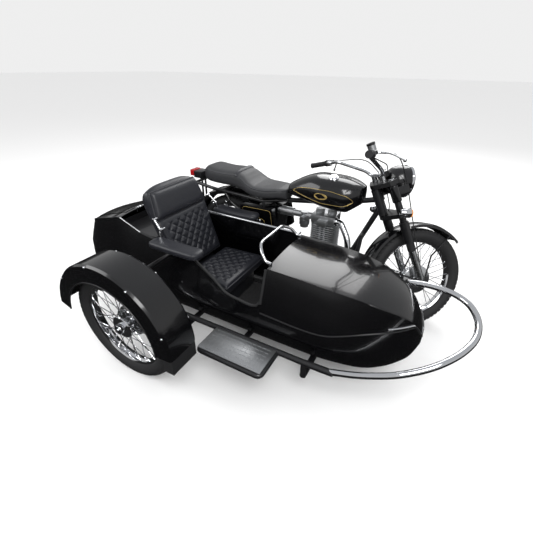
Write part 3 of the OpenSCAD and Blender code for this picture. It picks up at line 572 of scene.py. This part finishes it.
fin = [[(x * (1 if 0 < i < 3 else 0.985), y * (1 if 0 < i < 3 else 0.985), z) for x, y, z in r] for i,
       r in enumerate(fin)]
repeated("fins", [loft(fin)], alloy, "chassis", 13, step=(0, 0, 14.5),
         where=placed @ Matrix.Translation((735, 0, 418)))
finH = [[(x, y, z) for x, y in ((-76, -70), (76, -70), (76, 70), (-76, 70))] for z in (0, 4)]
repeated("headFins", [loft(finH)], alloy, "chassis", 4, step=(0, 0, 11),
         where=placed @ Matrix.Translation((735, 0, 612)))
covers = []
for s, wide in ((-1, 108), (1, 108)):
    covers.append(revolve([(0.5, s * (wide + 2)), (40, s * (wide + 2)), (60, s * (wide - 4)),
                           (66, s * (wide - 14)), (69, 0)], 48,
                          middle=(735, 0, 322)))
piece("covers", covers, polished, "chassis", angle=24)
screw = [drum((58, -110, 0), (58, -105, 0), 4, 12, 0.8)]
for s in (1, -1):
    repeated("coverScrews" + ("Left" if s > 0 else "Right"),
             [([(x, y * -s, z) for x, y, z in screw[0][0]], screw[0][1])], chrome,
             "chassis", 8, turn=(0, 45, 0), where=placed @ Matrix.Translation((735, 0, 322)))
print("tank and engine are built")

# lamp: shell, rim, lens and instruments
lampAt = steered @ Matrix.Translation((132, 0, 982)) @ Matrix.Rotation(math.radians(machine["rake"]), 4, "Y")
shell = [(0.5, -58), (30, -55), (56, -44), (76, -24), (88, 4), (91, 40), (92, 66)]
lamp = [revolve([(r, w) for r, w in shell], 64, "X")]
brim = [revolve([(88, 60), (95, 61), (98, 66), (98, 72), (94, 78), (88, 79), (86, 76), (86, 64)], 64,
                "X") + (1,)]
lens = [revolve([(0.5, 80), (30, 79.5), (60, 77), (80, 73), (87, 70)], 48, "X") + (2,)]
dish = [revolve([(0.5, 20), (40, 34), (70, 52), (86, 68)], 48, "X") + (1,)]
piece("lampShell", lamp + brim + lens + dish, [paint, chrome, glass], "steering", lampAt, "headlight",
      angle=30)
ears = []
for s in (-1, 1):
    ears += [drum((59.8, s * 98, 880), (59.8, s * 98, 976), 27),
             block((62, s * 98 - 13, 902), (148, s * 98 + 13, 958))]
piece("lampEars", ears, paint, "steering", steered, bevel=0.003)
clock = steered @ Matrix.Translation((72, 0, 1052)) @ Matrix.Rotation(math.radians(-8), 4, "Y")
piece("clock", [drum((0, 0, -26), (0, 0, 6), 36, 40, 4),
                revolve([(31, 6), (36, 6), (37, 9), (33, 12), (31, 10)], 40, "Z") + (1,),
                revolve([(0.4, 7.5), (31, 7.5)], 40, "Z") + (2,),
                pipe([(0, 0, 9), (14, 16, 9)], 1, 0, 6) + (0,)],
      [satin, chrome, dial], "steering", clock, angle=25)
legs = []
for s in (-1, 1):
    legs += [drum((59.8, s * 98, 334), (59.8, s * 98, 560), 22.2, 32, 3) + (0,),
             drum((59.8, s * 98, 556), (59.8, s * 98, 626), 24.5, 32, 3) + (1,),
             drum((59.8, s * 98, 1008), (59.8, s * 98, 1020), 15, 24) + (2,),
             drum((59.8, s * 126, 337.6), (59.8, s * 132, 337.6), 13, 6) + (2,)]
piece("forkLegs", legs, [polished, rubber, chrome], "steering", steered)
lights = []
for s in (-1, 1):
    m = Matrix.Translation((14, s * 176, 836)) @ Matrix.Rotation(math.radians(90 + machine["rake"]), 4, "Y")
    prof = [(0.5, -4), (14, -2), (22, 10), (27, 30), (28, 58), (26.5, 60)]
    pts, faces = revolve(prof, 36, "Z")
    lights.append(([tuple(m @ Vector(p)) for p in pts], faces, 0))
    pts, faces = revolve([(26.5, 58), (24, 68), (14, 73), (0.5, 74)], 36, "Z")
    lights.append(([tuple(m @ Vector(p)) for p in pts], faces, 1))
    lights.append(pipe([(60, s * 100, 832), (42, s * 150, 826)], 6, 0) + (0,))
piece("winkers", lights, [chrome, amber], "steering", steered, "indicators", angle=40)
cables = [pipe([tuple(leverC + Vector((24, 4, 4))), (96, 190, 1150), (110, 70, 1000), (70, 34, 820),
                (20, 60, 760)], 3.2, 70, 10),
          pipe([tuple(leverC * flip + Vector((20, -6, 0))), (110, -170, 1140), (150, -96, 960),
                (96, -126, 700), (70, -126, 480)], 3.2, 80, 10),
          pipe([tuple(gripB * flip + Vector((4, 6, -16))), (60, -120, 1100), (60, -20, 1000), (0, 20, 900)],
               3, 60, 10)]
piece("cables", cables, rubber, "steering", steered)
print("front end is built")

# rear shocks: chrome springs on black bodies
coils = []
for s in (-1, 1):
    a, b = Vector((-12, s * 144, 352)), Vector((22, s * 144, 655))
    d = (b - a).normalized()
    u, v = d.orthogonal().normalized(), d.cross(d.orthogonal().normalized())
    coil = [a + d * (62 + 200 * i / 240) + (u * math.cos(i * 0.262 * 1) + v * math.sin(i * 0.262)) * 19.5 for i in range(241)]
    coils += [pipe(coil, 3.6, 0, 8), pipe([tuple(a), tuple(b)], 8, 0) + (1,),
              drum(a + d * 52, a + d * 62, 23) + (1,),
              drum(a + d * 20, a + d * 56, 16) + (1,), drum(a + d * 240, a + d * 284, 21) + (0,)]
    for c in (a, b):
        coils.append(drum(c - Vector((0, 11.5, 0)), c + Vector((0, 11.5, 0)), 13) + (1,))
    coils.append(drum((22, s * 117.5, 655), (22, s * 160, 655), 8) + (0,))
piece("springs", coils, [chrome, satin], "chassis", replaces="rear_shocks", angle=40)

# tail lamp
piece("tailLens", [block((-388, -44, 760), (-346, 44, 808))], redLens, "chassis", bevel=0.008)
piece("tailBody", [block((-346, -48, 752), (-272, 48, 802)), block((-420, -88, 500), (-416, 88, 620)),
                   block((-417, -20, 530), (-386, 20, 542)), block((-300, -36, 746), (-272, 36, 760))],
      satin, "chassis",
      replaces="tail_light", bevel=0.004)


# sidecar body: a lofted shell, its cockpit left open between the gunwales
hull = {"wall": 0.008, "crown": 16}  # wall in metres, crown in millimetres


def smooth(table, x):
    if x <= table[0][0]:
        return table[0][1]
    for i in range(len(table) - 1):
        (x0, y0), (x1, y1) = table[i], table[i + 1]
        if x <= x1:
            before = table[max(0, i - 1)]
            after = table[min(len(table) - 1, i + 2)]
            m0 = (y1 - before[1]) / (x1 - before[0])
            m1 = (after[1] - y0) / (after[0] - x0)
            h = x1 - x0
            t = (x - x0) / h
            return ((2 * t ** 3 - 3 * t * t + 1) * y0 + (t ** 3 - 2 * t * t + t) * h * m0
                    + (3 * t * t - 2 * t ** 3) * y1 + (t ** 3 - t * t) * h * m1)
    return table[-1][1]


widths = [(-755, 208), (-700, 248), (-620, 276), (-380, 306), (300, 315), (1000, 315), (1160, 292),
          (1260, 260),
          (1350, 205), (1420, 138), (1460, 88), (1485, 30)]
bellies = [(-755, 330), (-735, 270), (-690, 215), (-600, 182), (-480, 170), (1240, 170), (1330, 184),
           (1400, 208),
           (1450, 240), (1485, 300)]
decks = [(-755, 545), (-700, 574), (-600, 607), (-480, 640), (-380, 664), (-200, 624), (300, 620),
         (700, 618), (900, 610),
         (1100, 592), (1230, 568), (1330, 532), (1400, 488), (1450, 430), (1485, 350)]
fractions = [(0, 0.60), (0.015, 0.73), (0.06, 0.86), (0.155, 0.966), (0.333, 1.0), (0.5, 0.945),
             (0.8, 0.812), (1.0, 0.72)]
rims = [(-380, 664), (-290, 634), (-200, 606), (0, 584), (190, 565), (265, 530), (390, 470), (470, 424),
        (560, 410),
        (650, 406), (684, 424), (700, 470)]
seams = [(700, 382), (1040, 374), (1250, 424), (1400, 436), (1485, 440)]


def station(x):
    return smooth(widths, x), smooth(bellies, x), smooth(decks, x)


def sidePoint(x, z, s):
    w, zb, zt = station(x)
    v = max(0.0, min(1.0, (z - zb) / max(1, zt - zb)))
    return (x, s * w * smooth(fractions, v), z)


def sideStrip(xs, lowZ, highZ, s, n=22):
    rows = []
    for x in xs:
        w, zb, zt = station(x)
        a, b = lowZ(x), highZ(x)
        row = []
        for k in range(n + 1):
            t = k / n
            row.append(sidePoint(x, a + (b - a) * (t * t if a <= zb + 1 else t), s))
        rows.append(row)
    return rows


def bellyStrip(xs, n=12):
    rows = []
    for x in xs:
        w, zb, zt = station(x)
        e = w * 0.60
        rows.append([(x, e * (2 * k / n - 1), zb) for k in range(n + 1)])
    return rows


def deckY(x, k, n):
    w, zb, zt = station(x)
    e = w * 0.72
    groups = [-e, -(e * 0.75 + 147 * 0.25), -(e * 0.4 + 147 * 0.6), -147] if e > 150 else [-e, -e * 0.9,
            -e * 0.8, -e * 0.7]
    inner = -groups[-1]
    mid = [-inner + 2 * inner * j / (n - 6) for j in range(1, n - 6)]
    ys = groups + mid + [-g for g in reversed(groups)]
    y = ys[k]
    return y, e, zt


def deckPoint(x, k, n, lift=0):
    y, e, zt = deckY(x, k, n)
    w, zb, top = station(x)
    fall = min(1, (top - zb) / 300)
    return (x, y, zt + hull["crown"] * fall * (1 - (y / e) ** 2) + lift)


def grid(rows, keep=None):
    n = len(rows[0])
    pts = [p for r in rows for p in r]
    faces = []
    for i in range(len(rows) - 1):
        for k in range(n - 1):
            if keep and not keep(i, k):
                continue
            f = (i * n + k, i * n + k + 1, (i + 1) * n + k + 1, (i + 1) * n + k)
            a, b, c = Vector(pts[f[0]]), Vector(pts[f[1]]), Vector(pts[f[2]])
            d = Vector(pts[f[3]])
            normal = (c - a).cross(d - b)
            middle = (a + b + c + d) / 4
            out = Vector((0.25 * (middle.x - 360) if abs(middle.x - 360) > 900 else 0, middle.y,
                          middle.z - 390))
            faces.append(f if normal.dot(out) > 0 else tuple(reversed(f)))
    return pts, faces


def stations(a, b, n):
    return [a + (b - a) * i / n for i in range(n + 1)]


tailXs = [-755, -752, -745, -735, -722, -706] + stations(-690, -403, 14) + [-380]
cockpitXs = stations(-380, 700, 54)
noseXs = stations(700, 1300, 26) + [1300 + 185 * math.sin(math.pi / 2 * i / 22) for i in range(1, 23)]
zb = lambda x: station(x)[1]
zt = lambda x: station(x)[2]
rimZ = lambda x: smooth(rims, x)
seamZ = lambda x: min(smooth(seams, x), zt(x) - 2)
tub = []
for s in (-1, 1):
    tub.append(grid(sideStrip(tailXs, zb, zt, s)))
    tub.append(grid(sideStrip(cockpitXs, zb, rimZ if s < 0 else zt, s)))
    tub.append(grid(sideStrip(noseXs, zb, seamZ, s)))
tub.append(grid(bellyStrip(tailXs + cockpitXs[1:] + noseXs[1:])))
deckN = 20
tub.append(grid([[deckPoint(x, k, deckN) for k in range(deckN + 1)] for x in tailXs],
                lambda i, k: not (-690.1 <= tailXs[i] < -403.1 and 3 <= k < deckN - 3)))


def endCap(x, s):
    w, low, high = station(x)
    top = [deckPoint(x, k, deckN) for k in range(deckN + 1)]
    out = [sidePoint(x, low + (high - low) * (t / 22) ** 2, 1) for t in range(23)]
    back = [sidePoint(x, low + (high - low) * (t / 22) ** 2, -1) for t in range(23)]
    ring = top + list(reversed(out))[1:] + back[:-1]
    return ring, [tuple(range(len(ring))) if s > 0 else tuple(reversed(range(len(ring))))]


cap = endCap(-755, -1)
tub.append(cap)
piece("tubShell", tub, paint, "chassis", bodyPlaced, "sidecar_tub", angle=45, thick=hull["wall"])
hood = [grid(sideStrip(noseXs, seamZ, zt, s)) for s in (-1, 1)]
hood.append(grid([[deckPoint(x, k, deckN) for k in range(deckN + 1)] for x in noseXs]))
piece("hoodShell", hood, paint, "chassis", bodyPlaced, "sidecar_hood", angle=60, thick=hull["wall"])
noseCap = endCap(1485, 1)
piece("noseCap", [noseCap], paint, "chassis", bodyPlaced, angle=0)

lidXs = [x for x in tailXs if -690.1 <= x <= -402.9]
lidRows = [[deckPoint(x, k, deckN, 3) for k in range(3, deckN - 2)] for x in lidXs]
hinges = []
for s in (-1, 1):
    hinges += [drum((-394, s * 40 - 14, 676), (-394, s * 40 + 14, 676), 8, 24) + (1,),
               pipe([(-398, s * 40, 670), (-440, s * 40, 656), (-486, s * 40, 641)], 5, 10, 12, 2.0) + (1,)]
piece("lidPanel", [grid(lidRows)] + hinges + [pipe([(-684, -26, 585), (-694, 0, 589), (-684, 26, 585)], 4,
                                                   10, 12) + (1,)],
      [paint, chrome], "boot_lid", bodyPlaced, "boot_lid", angle=45, thick=0.006)
piece("hingeRod", [drum((-394, -70, 676), (-394, 70, 676), 4), block((-400, -70, 650), (-388, -62, 680)),
                   block((-400, 62, 650), (-388, 70, 680))], chrome, "chassis", bodyPlaced)
inner = [loft([[(x, y, z) for y, z in ((-190, 178), (-284, 250), (-294, 320), (-262, 500), (-222, 640),
                                       (222, 640), (262, 500), (294, 320), (284, 250),
                                       (190, 178))] for x in (-388, -380)]),
         block((-380, -222, 592), (-80, 222, 600)),
         loft([[(x, y, z) for x, z in ((0, 176), (4, 350), (-29, 394), (-69, 558), (-82, 592), (-75.5, 600),
                                       (-61, 560), (-20.5, 398), (12, 352), (8, 176))]
               for y in (-205, 205)])]
piece("innerPanels", inner, satin, "chassis", bodyPlaced)

# edging: rubber round the entry, pale bead along the rear deck, bright strip round the nose
edge = [(x, -smooth(widths, x) * smooth(fractions, (rimZ(x) - zb(x)) / (zt(x) - zb(x))) + 4,
         rimZ(x)) for x in stations(-200, 690, 44)]
edge += [sidePoint(694, z, -1) for z in (430, 500, 560, 612)]
piece("entryEdge", [pipe(edge, 8, 0, 12)], rubber, "chassis", bodyPlaced, "cockpit_trim", angle=60)
bead = [(x, sidePoint(x, rimZ(x), -1)[1] + 3, rimZ(x) + 1) for x in stations(-378, 520, 60)]
piece("beadRear", [pipe(bead, 4.6, 0, 10)], polished, "chassis", bodyPlaced, angle=60)
deckLine = [(x, sidePoint(x, zt(x), s)[1], zt(x) + 1) for s in (-1,) for x in stations(-752, -380, 30)]
deckFar = [(x, sidePoint(x, zt(x), 1)[1], zt(x) + 1) for x in stations(-752, -380, 30)]
piece("beadTail", [pipe(deckLine, 3, 0, 8), pipe(deckFar, 3, 0, 8)], satin, "chassis", bodyPlaced, angle=60)
seamLine = [Vector(sidePoint(x, seamZ(x), -1)) + Vector((0, -1, 0)) for x in noseXs]
seamFar = [Vector(sidePoint(x, seamZ(x), 1)) + Vector((0, 1, 0)) for x in reversed(noseXs)]
piece("seamBead", [pipe(seamLine[:-2], 4.5, 0, 10), pipe(seamFar[2:], 4.5, 0, 10)], satin, "chassis",
      bodyPlaced, angle=60)
stripXs = [x for x in noseXs if 1320 < x < 1478]
strip = [Vector(sidePoint(x, min(452, zt(x) - 6), s)) + Vector((2, 2 * s, 0)) for s,
         xs in ((-1, stripXs), (1, list(reversed(stripXs)))) for x in xs]
piece("noseStrip", [pipe(strip, 5.5, 0, 10)], chrome, "chassis", bodyPlaced, angle=60)
print("body is built")


# upholstery: crowned pads with diamond quilting
quilt = {"cell": 62, "depth": 11, "bulge": 26}


def pad(name, corners, thickness, nu, nv, m, body, n, diamond, where=bodyPlaced, crown=1.0):
    # corners give the front face as four points; thickness goes against its normal
    a, b, c, d = (Vector(p) for p in corners)
    normal = (b - a).cross(d - a).normalized()
    wide, tall = (b - a).length, (d - a).length
    front, rear = [], []
    for j in range(nv + 1):
        v = j / nv
        r1, r2 = [], []
        for i in range(nu + 1):
            u = i / nu
            p = (a * (1 - u) + b * u) * (1 - v) + (d * (1 - u) + c * u) * v
            eu, ev = min(u, 1 - u) * wide, min(v, 1 - v) * tall
            k = min(1.0, eu / 46) ** 0.5 * 1.0
            q = min(1.0, ev / 46) ** 0.5
            puff = (1 - (1 - k) ** 2) * (1 - (1 - q) ** 2)
            h = quilt["bulge"] * crown * puff
            if diamond:
                x, y = (u - 0.5) * wide / quilt["cell"], (v - 0.5) * tall / quilt["cell"]
                g = min(abs(math.sin(math.pi * (x + y) / 1.0)), abs(math.sin(math.pi * (x - y))))
                inside = min(1, max(0, (min(eu, ev) - 34) / 10))
                h -= inside * quilt["depth"] * (1 - g) ** 4 - 3 * inside * g
            r1.append(tuple(p + normal * (h - 14)))
            r2.append(tuple(p - normal * (thickness - 12 * (1 - puff))))
        front.append(r1)
        rear.append(r2)
    pts = [p for r in front for p in r] + [p for r in rear for p in r]
    w, off = nu + 1, (nu + 1) * (nv + 1)
    faces = []
    for j in range(nv):
        for i in range(nu):
            q = (j * w + i, j * w + i + 1, (j + 1) * w + i + 1, (j + 1) * w + i)
            faces += [q, tuple(off + k for k in reversed(q))]
    rimIds = [i for i in range(w)] + [j * w + nu for j in range(1,
            nv + 1)] + [nv * w + i for i in range(nu - 1, -1, -1)] + [j * w for j in range(nv - 1, 0, -1)]
    for i in range(len(rimIds)):
        p, q = rimIds[i], rimIds[(i + 1) % len(rimIds)]
        faces.append((p, off + p, off + q, q))
    cord = [Vector(pts[k]) + normal * -1 for k in rimIds]
    cord = pipe([tuple(p) for p in cord[::2]] + [tuple(cord[0])], 4.5, 0, 8)
    obj = piece(name, [(pts, faces), cord + (1,)], [m, piping], body, where, n, angle=0, subdivide=1)
    return obj


pad("seatCushion", [(430, -218, 404), (430, 218, 404), (118, 218, 392), (118, -218, 392)], 70, 72, 48, hide,
    "chassis",
    "seat_cushion", True, crown=0.9)
piece("seatBase", [block((20, -180, 179), (380, 180, 330)),
                   loft([[(x, y, z) for x, z in ((120, 336), (390, 320), (416, 338), (420, 384), (390, 396),
                                                 (130, 380))] for y in (-214, 214)])],
      hide, "chassis", bodyPlaced, bevel=0.012)
pad("seatBackLow", [(92, -204, 398), (92, 204, 398), (-38, 226, 716), (-38, -226, 716)], 58, 68, 56, hide,
    "chassis", "seat_back",
    True, crown=0.8)
pad("seatBackHead", [(-30, -226, 716), (-30, 226, 716), (-86, 196, 872), (-86, -196, 872)], 70, 60, 28,
    hide, "chassis", (), False,
    crown=1.1)
shellRings = []
for y in stations(-214, 214, 20):
    f = 1 - 0.28 * abs(y / 214) ** 4
    shellRings.append([(x, y, z) for x, z in ((30, 362), (70, 380), (40, 480), (-14, 640), (-70, 800),
                                              (-92, 850 * f + 850 * (1 - f)), (-122, 896 - 46 * (1 - f) * 3),
                                              (-160, 884 - 46 * (1 - f) * 3), (-170, 800), (-108, 690),
                                              (-60, 562), (-20, 404))])
seatShell = piece("seatBackShell", [loft(shellRings)], hide, "chassis", bodyPlaced, subdivide=1, angle=0)
for s, tag in ((-1, "Near"), (1, "Far")):
    rings = []
    for i in range(27):
        t = i / 26
        x = -16 + 352 * t
        e = min(t, 1 - t) * 352
        r = 1 - (1 - min(1, e / 30)) ** 2.2 * 0.55
        cy2, cz = s * 306, 628 - 3 * math.sin(t * math.pi)
        ring = []
        for k in range(20):
            a = 2 * math.pi * k / 20
            cc, ss = math.cos(a), math.sin(a)
            ring.append((x, cy2 + 52 * r * abs(cc) ** 0.55 * (1 if cc > 0 else -1),
                         cz + 23 * r * abs(ss) ** 0.7 * (1 if ss > 0 else -1)))
        rings.append(ring)
    arm = piece("armPad" + tag, [loft(rings)], hide, "chassis", bodyPlaced, "armrests" if s < 0 else (),
                angle=0, subdivide=1)
    piece("armBracket" + tag, [pipe([(20, s * 234, 690), (20, s * 266, 690), (20, s * 280, 634)], 8, 20),
                               drum((-30, s * 233, 740), (-30, s * 264, 740), 8),
                               pipe([(-30, s * 256, 740), (20, s * 266, 690)], 7, 0),
                               drum((20, s * 258, 690), (20, s * 274, 690), 12)],
          chrome, "chassis", bodyPlaced)

# rider's seat
prof = [(466, 792, 716), (430, 797, 724), (400, 798, 722), (320, 792, 714), (235, 796, 716),
        (195, 812, 726), (160, 838, 734), (130, 858, 742), (70, 870, 752),
        (-40, 866, 754), (-120, 871, 756), (-160, 876, 758), (-190, 870, 764), (-208, 850, 776),
        (-218, 828, 790)]
half = [(466, 60), (430, 92), (400, 106), (320, 134), (235, 138), (195, 139), (160, 134), (130, 130),
        (70, 124), (-40, 121), (-120, 120), (-160, 112), (-190, 98),
        (-208, 80), (-218, 60)]
rings = []
for i in range(70):
    x = 464 - 681 * i / 69
    top = smooth([(-p[0], p[1]) for p in prof], -x)
    low = smooth([(-p[0], p[2]) for p in prof], -x)
    w = smooth([(-p[0], p[1]) for p in half], -x)
    rib = 2.2 * max(0, 1 - abs(((x + 300) % 34) - 17) / 4) if x < 170 or x > 225 else 0
    ring = []
    for k in range(36):
        a = 2 * math.pi * k / 36
        cc, ss = math.cos(a), math.sin(a)
        y = w * abs(cc) ** 0.5 * (1 if cc > 0 else -1)
        z = (top + low) / 2 + (top - low) / 2 * abs(ss) ** 0.6 * (1 if ss > 0 else -1)
        if ss > 0.5 and abs(y) < w * 0.7:
            z -= rib
        ring.append((x, y, z))
    rings.append(ring)
saddle = piece("saddle", [loft(rings)], vinyl, "chassis", replaces="rider_seat", angle=0, subdivide=1)
cordLine = [(x, s * (smooth([(-p[0], p[1]) for p in half], -x) * 0.955),
             smooth([(-p[0], p[1] * 0.72 + p[2] * 0.28) for p in prof], -x) + 8)
            for s, seq in ((1, range(40)), (-1,
                                            reversed(range(40)))) for x in [450 - 655 * i / 39 for i in seq]]
piece("saddlePiping", [pipe(cordLine, 3.4, 0, 8)], piping, "chassis", angle=0)
strap = [(96, y, smooth([(-p[0], p[1]) for p in prof],
                        -96) - abs(y / 128) ** 4 * 26 + 3) for y in stations(-128, 128, 24)]
piece("saddleStrap", [pipe(strap, 4, 0, 10, 3.6)], piping, "chassis", angle=0)
print("upholstery is built")

# chequer plate, mudguard bolts, reflectors
piece("stepSheet", [block((484, -1112, 259.3), (852, -944, 266.3))], plate, "chassis",
      replaces="step_plate", bevel=0.001)
piece("stepTubes", [pipe([(484, -941, 245), (484, -1112, 245), (852, -1112, 245), (852, -941, 245)], 14,
                         26)], satin, "chassis")
lozenge = [loft([[(-11 * k, 0, z), (0, -2.6 * k, z), (11 * k, 0, z), (0, 2.6 * k, z)] for k,
                 z in ((1, 0), (0.8, 1.8))]), ]
turned = [([(y, x, z) for x, y, z in lozenge[0][0]], [tuple(reversed(f)) for f in lozenge[0][1]])]
for j in range(7):
    repeated("lozengeA%d" % j, lozenge, plate, "chassis", 12, step=(28, 0, 0),
             where=placed @ Matrix.Translation((508, -1100 + 24 * j, 266.3)))
    repeated("lozengeB%d" % j, turned, plate, "chassis", 12, step=(28, 0, 0),
             where=placed @ Matrix.Translation((522, -1100 + 24 * j, 266.3)))
bolts = []
for a in (20, 60, 100, 140):
    p = Vector((100 + 382 * math.cos(math.radians(a)), 0, 328 + 382 * math.sin(math.radians(a))))
    for s in (-1, 1):
        bolts.append(ball((p.x, -1215 + s * 88, p.z), 7, 8))
piece("guardBolts", bolts, chrome, "chassis", angle=40)
edgeLines = []
for s in (-1, 1):
    arc = [(100 + 302 * math.cos(math.radians(a)), -1215 + s * 96,
            328 + 302 * math.sin(math.radians(a))) for a in range(0, 171, 5)]
    edgeLines.append(pipe(arc, 3.5, 0, 8))
piece("guardBeads", edgeLines, satin, "chassis", angle=40)
dots = []
for s in (-1, 1):
    dots += [drum((59.8 + 24, s * 98, 700), (59.8 + 30, s * 98, 700), 11, 20)]
piece("reflectors", dots, dial, "steering", steered)
matRib = [block((0, -190, 0), (6, 190, 2.2))]
repeated("matRibs", matRib, matRubber, "chassis", 42, step=(15, 0, 0),
         where=bodyPlaced @ Matrix.Translation((376, 0, 184.3)))


# studio
floor = bpy.data.meshes.new("floor")
floor.from_pydata([(-60, -60, -0.001), (60, -60, -0.001), (60, 60, -0.001), (-60, 60, -0.001)], [],
                  [(0, 1, 2, 3)])
floor.materials.append(floorPaint)
ground = bpy.data.objects.new("floor", floor)
bpy.context.scene.collection.objects.link(ground)
ground.visible_glossy = False

studio = {"sky": 0.86, "key": 190, "fill": 70, "rim": 120}  # lamps in watts
world = bpy.data.worlds.new("studio")
bpy.context.scene.world = world
world.use_nodes = True
tree = world.node_tree
sky = tree.nodes["Background"]
sky.inputs[1].default_value = 1.0
coords, split, ramp = (tree.nodes.new("ShaderNode" + k) for k in ("TexCoord", "SeparateXYZ", "ValToRGB"))
seen, pick = tree.nodes.new("ShaderNodeLightPath"), tree.nodes.new("ShaderNodeMix")
pick.data_type = "RGBA"
tree.links.new(coords.outputs["Generated"], split.inputs[0])
tree.links.new(split.outputs["Z"], ramp.inputs[0])
stops = ramp.color_ramp.elements
stops[0].position, stops[0].color = 0.0, (0.02, 0.02, 0.02, 1)
stops[1].position, stops[1].color = 1.0, (0.42, 0.43, 0.45, 1)
middle = stops.new(0.04)
middle.color = (0.5, 0.5, 0.5, 1)
tree.links.new(seen.outputs["Is Glossy Ray"], pick.inputs[0])
pick.inputs[6].default_value = (studio["sky"],) * 3 + (1,)
tree.links.new(ramp.outputs[0], pick.inputs[7])
tree.links.new(pick.outputs[2], sky.inputs[0])
bpy.context.scene.view_settings.view_transform = "Standard"
for name, spot, power, size in (("key", (2.6, -3.2, 5.0), studio["key"], 3.0),
                                ("fill", (-4.0, -2.6, 3.6), studio["fill"], 3.0),
                                ("rim", (-0.5, 4.6, 4.0), studio["rim"], 3.4)):
    lamp = bpy.data.lights.new(name, "AREA")
    lamp.energy = power
    lamp.size = size
    o = bpy.data.objects.new(name, lamp)
    o.location = spot
    o.rotation_euler = (Vector((0, 0, 0.4)) - Vector(spot)).to_track_quat("-Z", "Y").to_euler()
    bpy.context.scene.collection.objects.link(o)

# the photograph's standpoint
eye = {"place": (0.8987, -1.5436, 1.51), "azimuth": 28.28, "elevation": 31.33, "roll": 0.89, "lens": 22.36}
az, el, roll = (math.radians(eye[k]) for k in ("azimuth", "elevation", "roll"))
back = Vector((math.sin(az) * math.cos(el), -math.cos(az) * math.cos(el), math.sin(el)))
right = Vector((math.cos(az), math.sin(az), 0))
up = back.cross(right)
right, up = right * math.cos(roll) + up * math.sin(roll), up * math.cos(roll) - right * math.sin(roll)
camera = bpy.data.cameras.new("camera")
camera.lens = eye["lens"]
camera.sensor_width = 36
camObj = bpy.data.objects.new("camera", camera)
camObj.matrix_world = Matrix.Translation(eye["place"]) @ Matrix((right, up, back)).transposed().to_4x4()
bpy.context.scene.collection.objects.link(camObj)
bpy.context.scene.camera = camObj

print("the scene is ready")
